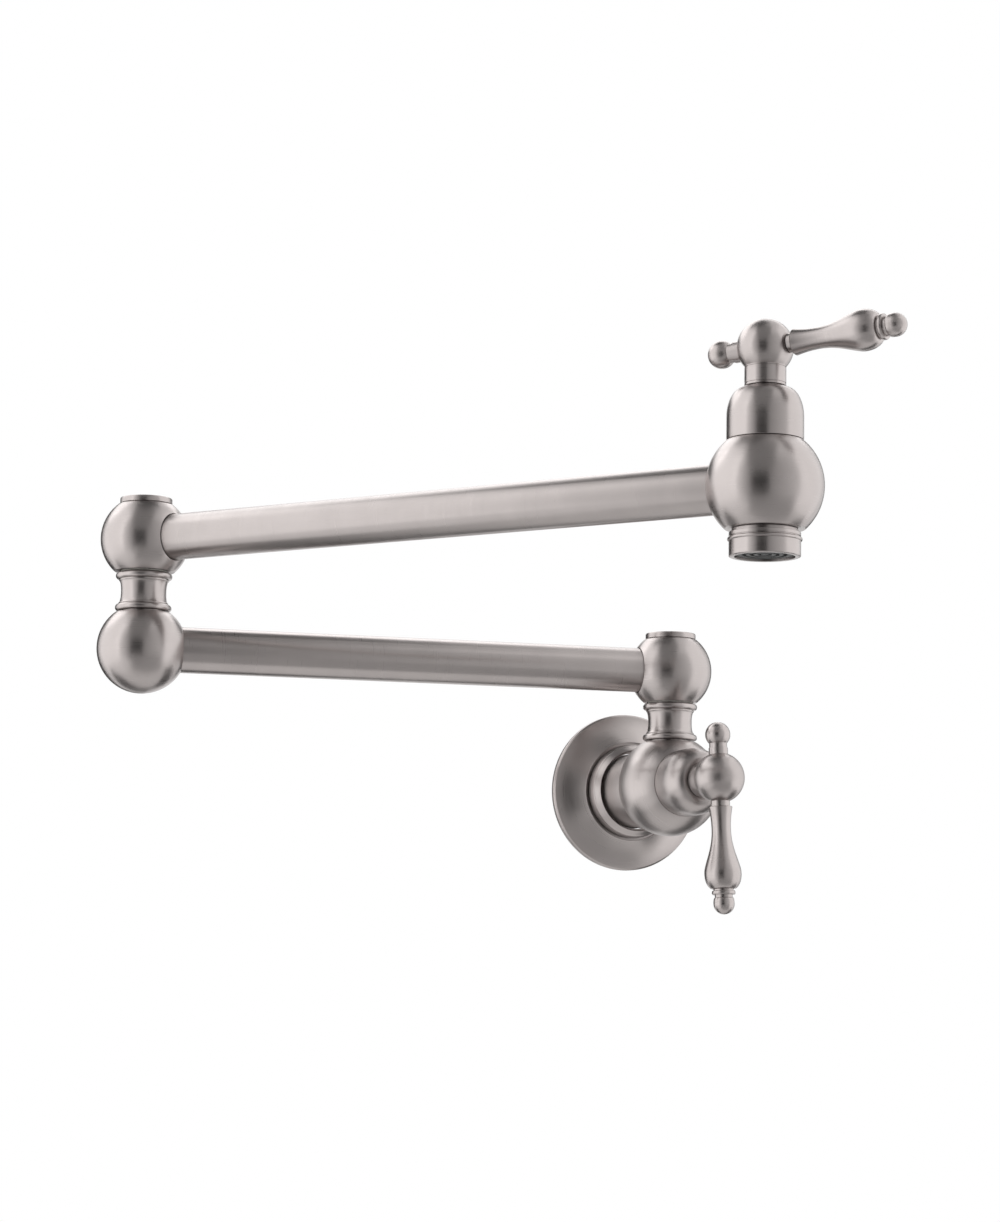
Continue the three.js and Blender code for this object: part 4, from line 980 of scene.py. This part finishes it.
class StudioSettings(bpy.types.PropertyGroup):
    floor_colour: FloatVectorProperty(name="Floor colour", description="Colour of the painted floor",
                                      subtype="COLOR", default=hex_linear("#eeeeec"), min=0.0, max=1.0)
    floor_drop: FloatProperty(name="Floor drop", description="How far the floor is below the wall valve",
                              default=0.9, min=0.0, unit="LENGTH", subtype="DISTANCE")
    floor_radius: FloatProperty(name="Floor radius", description="How far the floor reaches",
                                default=1.4, min=0.5, unit="LENGTH", subtype="DISTANCE")
    fill: FloatProperty(name="Fill", description="Level of the even light from all round",
                        default=0.6, min=0.0)
    side_level: FloatProperty(name="Side level", description="Level of the softboxes at both sides",
                              default=0.5, min=0.0)


# One operator for each piece or group of like pieces.

class PotFillerOperator:
    bl_options = {"REGISTER", "UNDO"}

    def execute(self, context):
        self.make(context.scene)
        return {"FINISHED"}


class POTFILLER_OT_wall_fixing(PotFillerOperator, bpy.types.Operator):
    """Turn the flange and the ring that holds it on the wall"""
    bl_idname = "pot_filler.wall_fixing"
    bl_label = "Flange and lock ring"

    def make(self, scene):
        make_flange(scene.pot_filler_wall)
        make_lock_ring(scene.pot_filler_wall)


class POTFILLER_OT_wall_valve(PotFillerOperator, bpy.types.Operator):
    """Turn the shank and the ball of the wall valve"""
    bl_idname = "pot_filler.wall_valve"
    bl_label = "Wall valve"

    def make(self, scene):
        make_shank(scene.pot_filler_wall)
        make_valve_body(scene.pot_filler_wall)


class POTFILLER_OT_posts(PotFillerOperator, bpy.types.Operator):
    """Turn the beaded posts that the two arms swivel on"""
    bl_idname = "pot_filler.posts"
    bl_label = "Posts"

    def make(self, scene):
        joints = scene.pot_filler_joints
        valve_top = VALVE_CENTRE + Vector((0, 0, height_at(VALVE_BALL, POST_SEAT)))
        elbow_top = ELBOW_BASE + Vector((0, 0, height_at(ELBOW_LOWER_BALL, POST_SEAT)))
        make_post("wall_post", joints, upright(valve_top), SWIVEL_BALL, POST_SEAT,
                  "wall_valve", "swivel_post")
        make_post("arm_post", joints, upright(elbow_top), ELBOW_UPPER_BALL, ELBOW_UPPER_SEAT,
                  "lower_arm", "elbow_post")


class POTFILLER_OT_turning_balls(PotFillerOperator, bpy.types.Operator):
    """Turn the two balls that swivel on the posts and bore them for their tubes"""
    bl_idname = "pot_filler.turning_balls"
    bl_label = "Swivelling balls"

    def make(self, scene):
        arms = scene.pot_filler_arms
        make_turning_ball("lower_arm_sphere", arms, SWIVEL_BALL, POST_SEAT, LOWER_SWIVEL,
                          "lower_arm", "swivel_ball")
        make_turning_ball("upper_arm_sphere", arms, ELBOW_UPPER_BALL, ELBOW_UPPER_SEAT, ELBOW_UPPER,
                          "upper_arm", "elbow_upper_ball")


class POTFILLER_OT_caps(PotFillerOperator, bpy.types.Operator):
    """Turn the caps that close the two swivelling balls"""
    bl_idname = "pot_filler.caps"
    bl_label = "Caps"

    def make(self, scene):
        joints = scene.pot_filler_joints
        make_cap("lower_arm_cap", joints, SWIVEL_BALL, LOWER_SWIVEL, "lower_arm", "swivel_cap")
        make_cap("upper_arm_cap", joints, ELBOW_UPPER_BALL, ELBOW_UPPER, "upper_arm", "elbow_cap")


class POTFILLER_OT_arms(PotFillerOperator, bpy.types.Operator):
    """Cut the two arm tubes and turn the fixed balls at their far ends"""
    bl_idname = "pot_filler.arms"
    bl_label = "Arms"

    def make(self, scene):
        arms = scene.pot_filler_arms
        make_elbow_lower_ball(arms)
        make_spout_ball(arms)
        make_tube("lower_arm_tube", arms, SWIVEL_BALL, ELBOW_LOWER_BALL, LOWER_SWIVEL, LOWER_ARM.length,
                  "lower_arm", "lower_tube")
        make_tube("upper_arm_tube", arms, ELBOW_UPPER_BALL, VALVE_BALL, ELBOW_UPPER, UPPER_ARM.length,
                  "upper_arm", "upper_tube")


class POTFILLER_OT_bonnets(PotFillerOperator, bpy.types.Operator):
    """Turn the bonnets over the two cartridges"""
    bl_idname = "pot_filler.bonnets"
    bl_label = "Bonnets"

    def make(self, scene):
        bonnets = scene.pot_filler_bonnets
        make_bonnet("wall_bonnet", bonnets, WALL_VALVE, "wall_valve", "valve_bonnet")
        make_bonnet("outlet_bonnet", bonnets, SPOUT, "upper_arm", "spout_bonnet")


class POTFILLER_OT_handles(PotFillerOperator, bpy.types.Operator):
    """Turn the hubs, levers, finials and set screws of both handles"""
    bl_idname = "pot_filler.handles"
    bl_label = "Handles"

    def make(self, scene):
        bonnets, handles = scene.pot_filler_bonnets, scene.pot_filler_handles
        for name, place, body in (("wall", WALL_HANDLE, "wall_handle"), ("outlet", SPOUT, "spout_handle")):
            make_hub(f"{name}_hub", bonnets, handles, place, body, f"{body}_hub")
            make_lever(f"{name}_lever", handles, place, body, f"{body}_lever")
            make_finial(f"{name}_finial", handles, place, body, f"{body}_finial")
            make_set_screw(f"{name}_set_screw", place, body, f"{body}_set_screw")


class POTFILLER_OT_outlet(PotFillerOperator, bpy.types.Operator):
    """Turn the outlet collar and the aerator in it"""
    bl_idname = "pot_filler.outlet"
    bl_label = "Outlet"

    def make(self, scene):
        make_outlet_collar(scene.pot_filler_outlet)
        make_aerator(scene.pot_filler_outlet)


class POTFILLER_OT_inner_pieces(PotFillerOperator, bpy.types.Operator):
    """Give the seals, cartridges, washers and screws inside their own finishes"""
    bl_idname = "pot_filler.inner_pieces"
    bl_label = "Inner pieces"

    def make(self, scene):
        for row in frame["record"]["subparts"]:
            for slot in frame["nodes"][row["node"]].material_slots:
                slot.material = finish_of(row["material_slot"])


class POTFILLER_OT_studio(PotFillerOperator, bpy.types.Operator):
    """Set up the floor, the cards, the softboxes and the camera"""
    bl_idname = "pot_filler.studio"
    bl_label = "Studio"

    def make(self, scene):
        studio = scene.pot_filler_studio
        scene.view_settings.view_transform = "Standard"
        make_camera()
        make_world(studio)
        make_floor(studio)
        for name, measures in CARDS.items():
            make_card(name, *measures)
        for name, (*measures, share) in SOFTBOXES.items():
            make_softbox(name, *measures, share * studio.side_level)


SETTINGS = {
    "pot_filler_finish": FinishSettings,
    "pot_filler_wall": WallSettings,
    "pot_filler_joints": JointSettings,
    "pot_filler_arms": ArmSettings,
    "pot_filler_bonnets": BonnetSettings,
    "pot_filler_handles": HandleSettings,
    "pot_filler_outlet": OutletSettings,
    "pot_filler_studio": StudioSettings,
}
OPERATORS = (
    POTFILLER_OT_wall_fixing,
    POTFILLER_OT_wall_valve,
    POTFILLER_OT_posts,
    POTFILLER_OT_turning_balls,
    POTFILLER_OT_caps,
    POTFILLER_OT_arms,
    POTFILLER_OT_bonnets,
    POTFILLER_OT_handles,
    POTFILLER_OT_outlet,
    POTFILLER_OT_inner_pieces,
    POTFILLER_OT_studio,
)


class POTFILLER_PT_panel(bpy.types.Panel):
    """Sizes, colours and steps of the pot filler"""
    bl_label = "Pot filler"
    bl_space_type = "VIEW_3D"
    bl_region_type = "UI"
    bl_category = "Pot filler"

    def draw(self, context):
        for setting, group in SETTINGS.items():
            box = self.layout.box()
            for name in group.__annotations__:
                box.prop(getattr(context.scene, setting), name)
        for operator in OPERATORS:
            self.layout.operator(operator.bl_idname)


def register():
    for part in (*SETTINGS.values(), *OPERATORS, POTFILLER_PT_panel):
        bpy.utils.register_class(part)
    for setting, group in SETTINGS.items():
        setattr(bpy.types.Scene, setting, PointerProperty(type=group))


def unregister():
    for setting in SETTINGS:
        delattr(bpy.types.Scene, setting)
    for part in (POTFILLER_PT_panel, *reversed(OPERATORS), *reversed(SETTINGS.values())):
        bpy.utils.unregister_class(part)


def main():
    register()
    for operator in OPERATORS:
        group, step = operator.bl_idname.split(".")
        getattr(getattr(bpy.ops, group), step)()


if __name__ == "__main__":
    main()
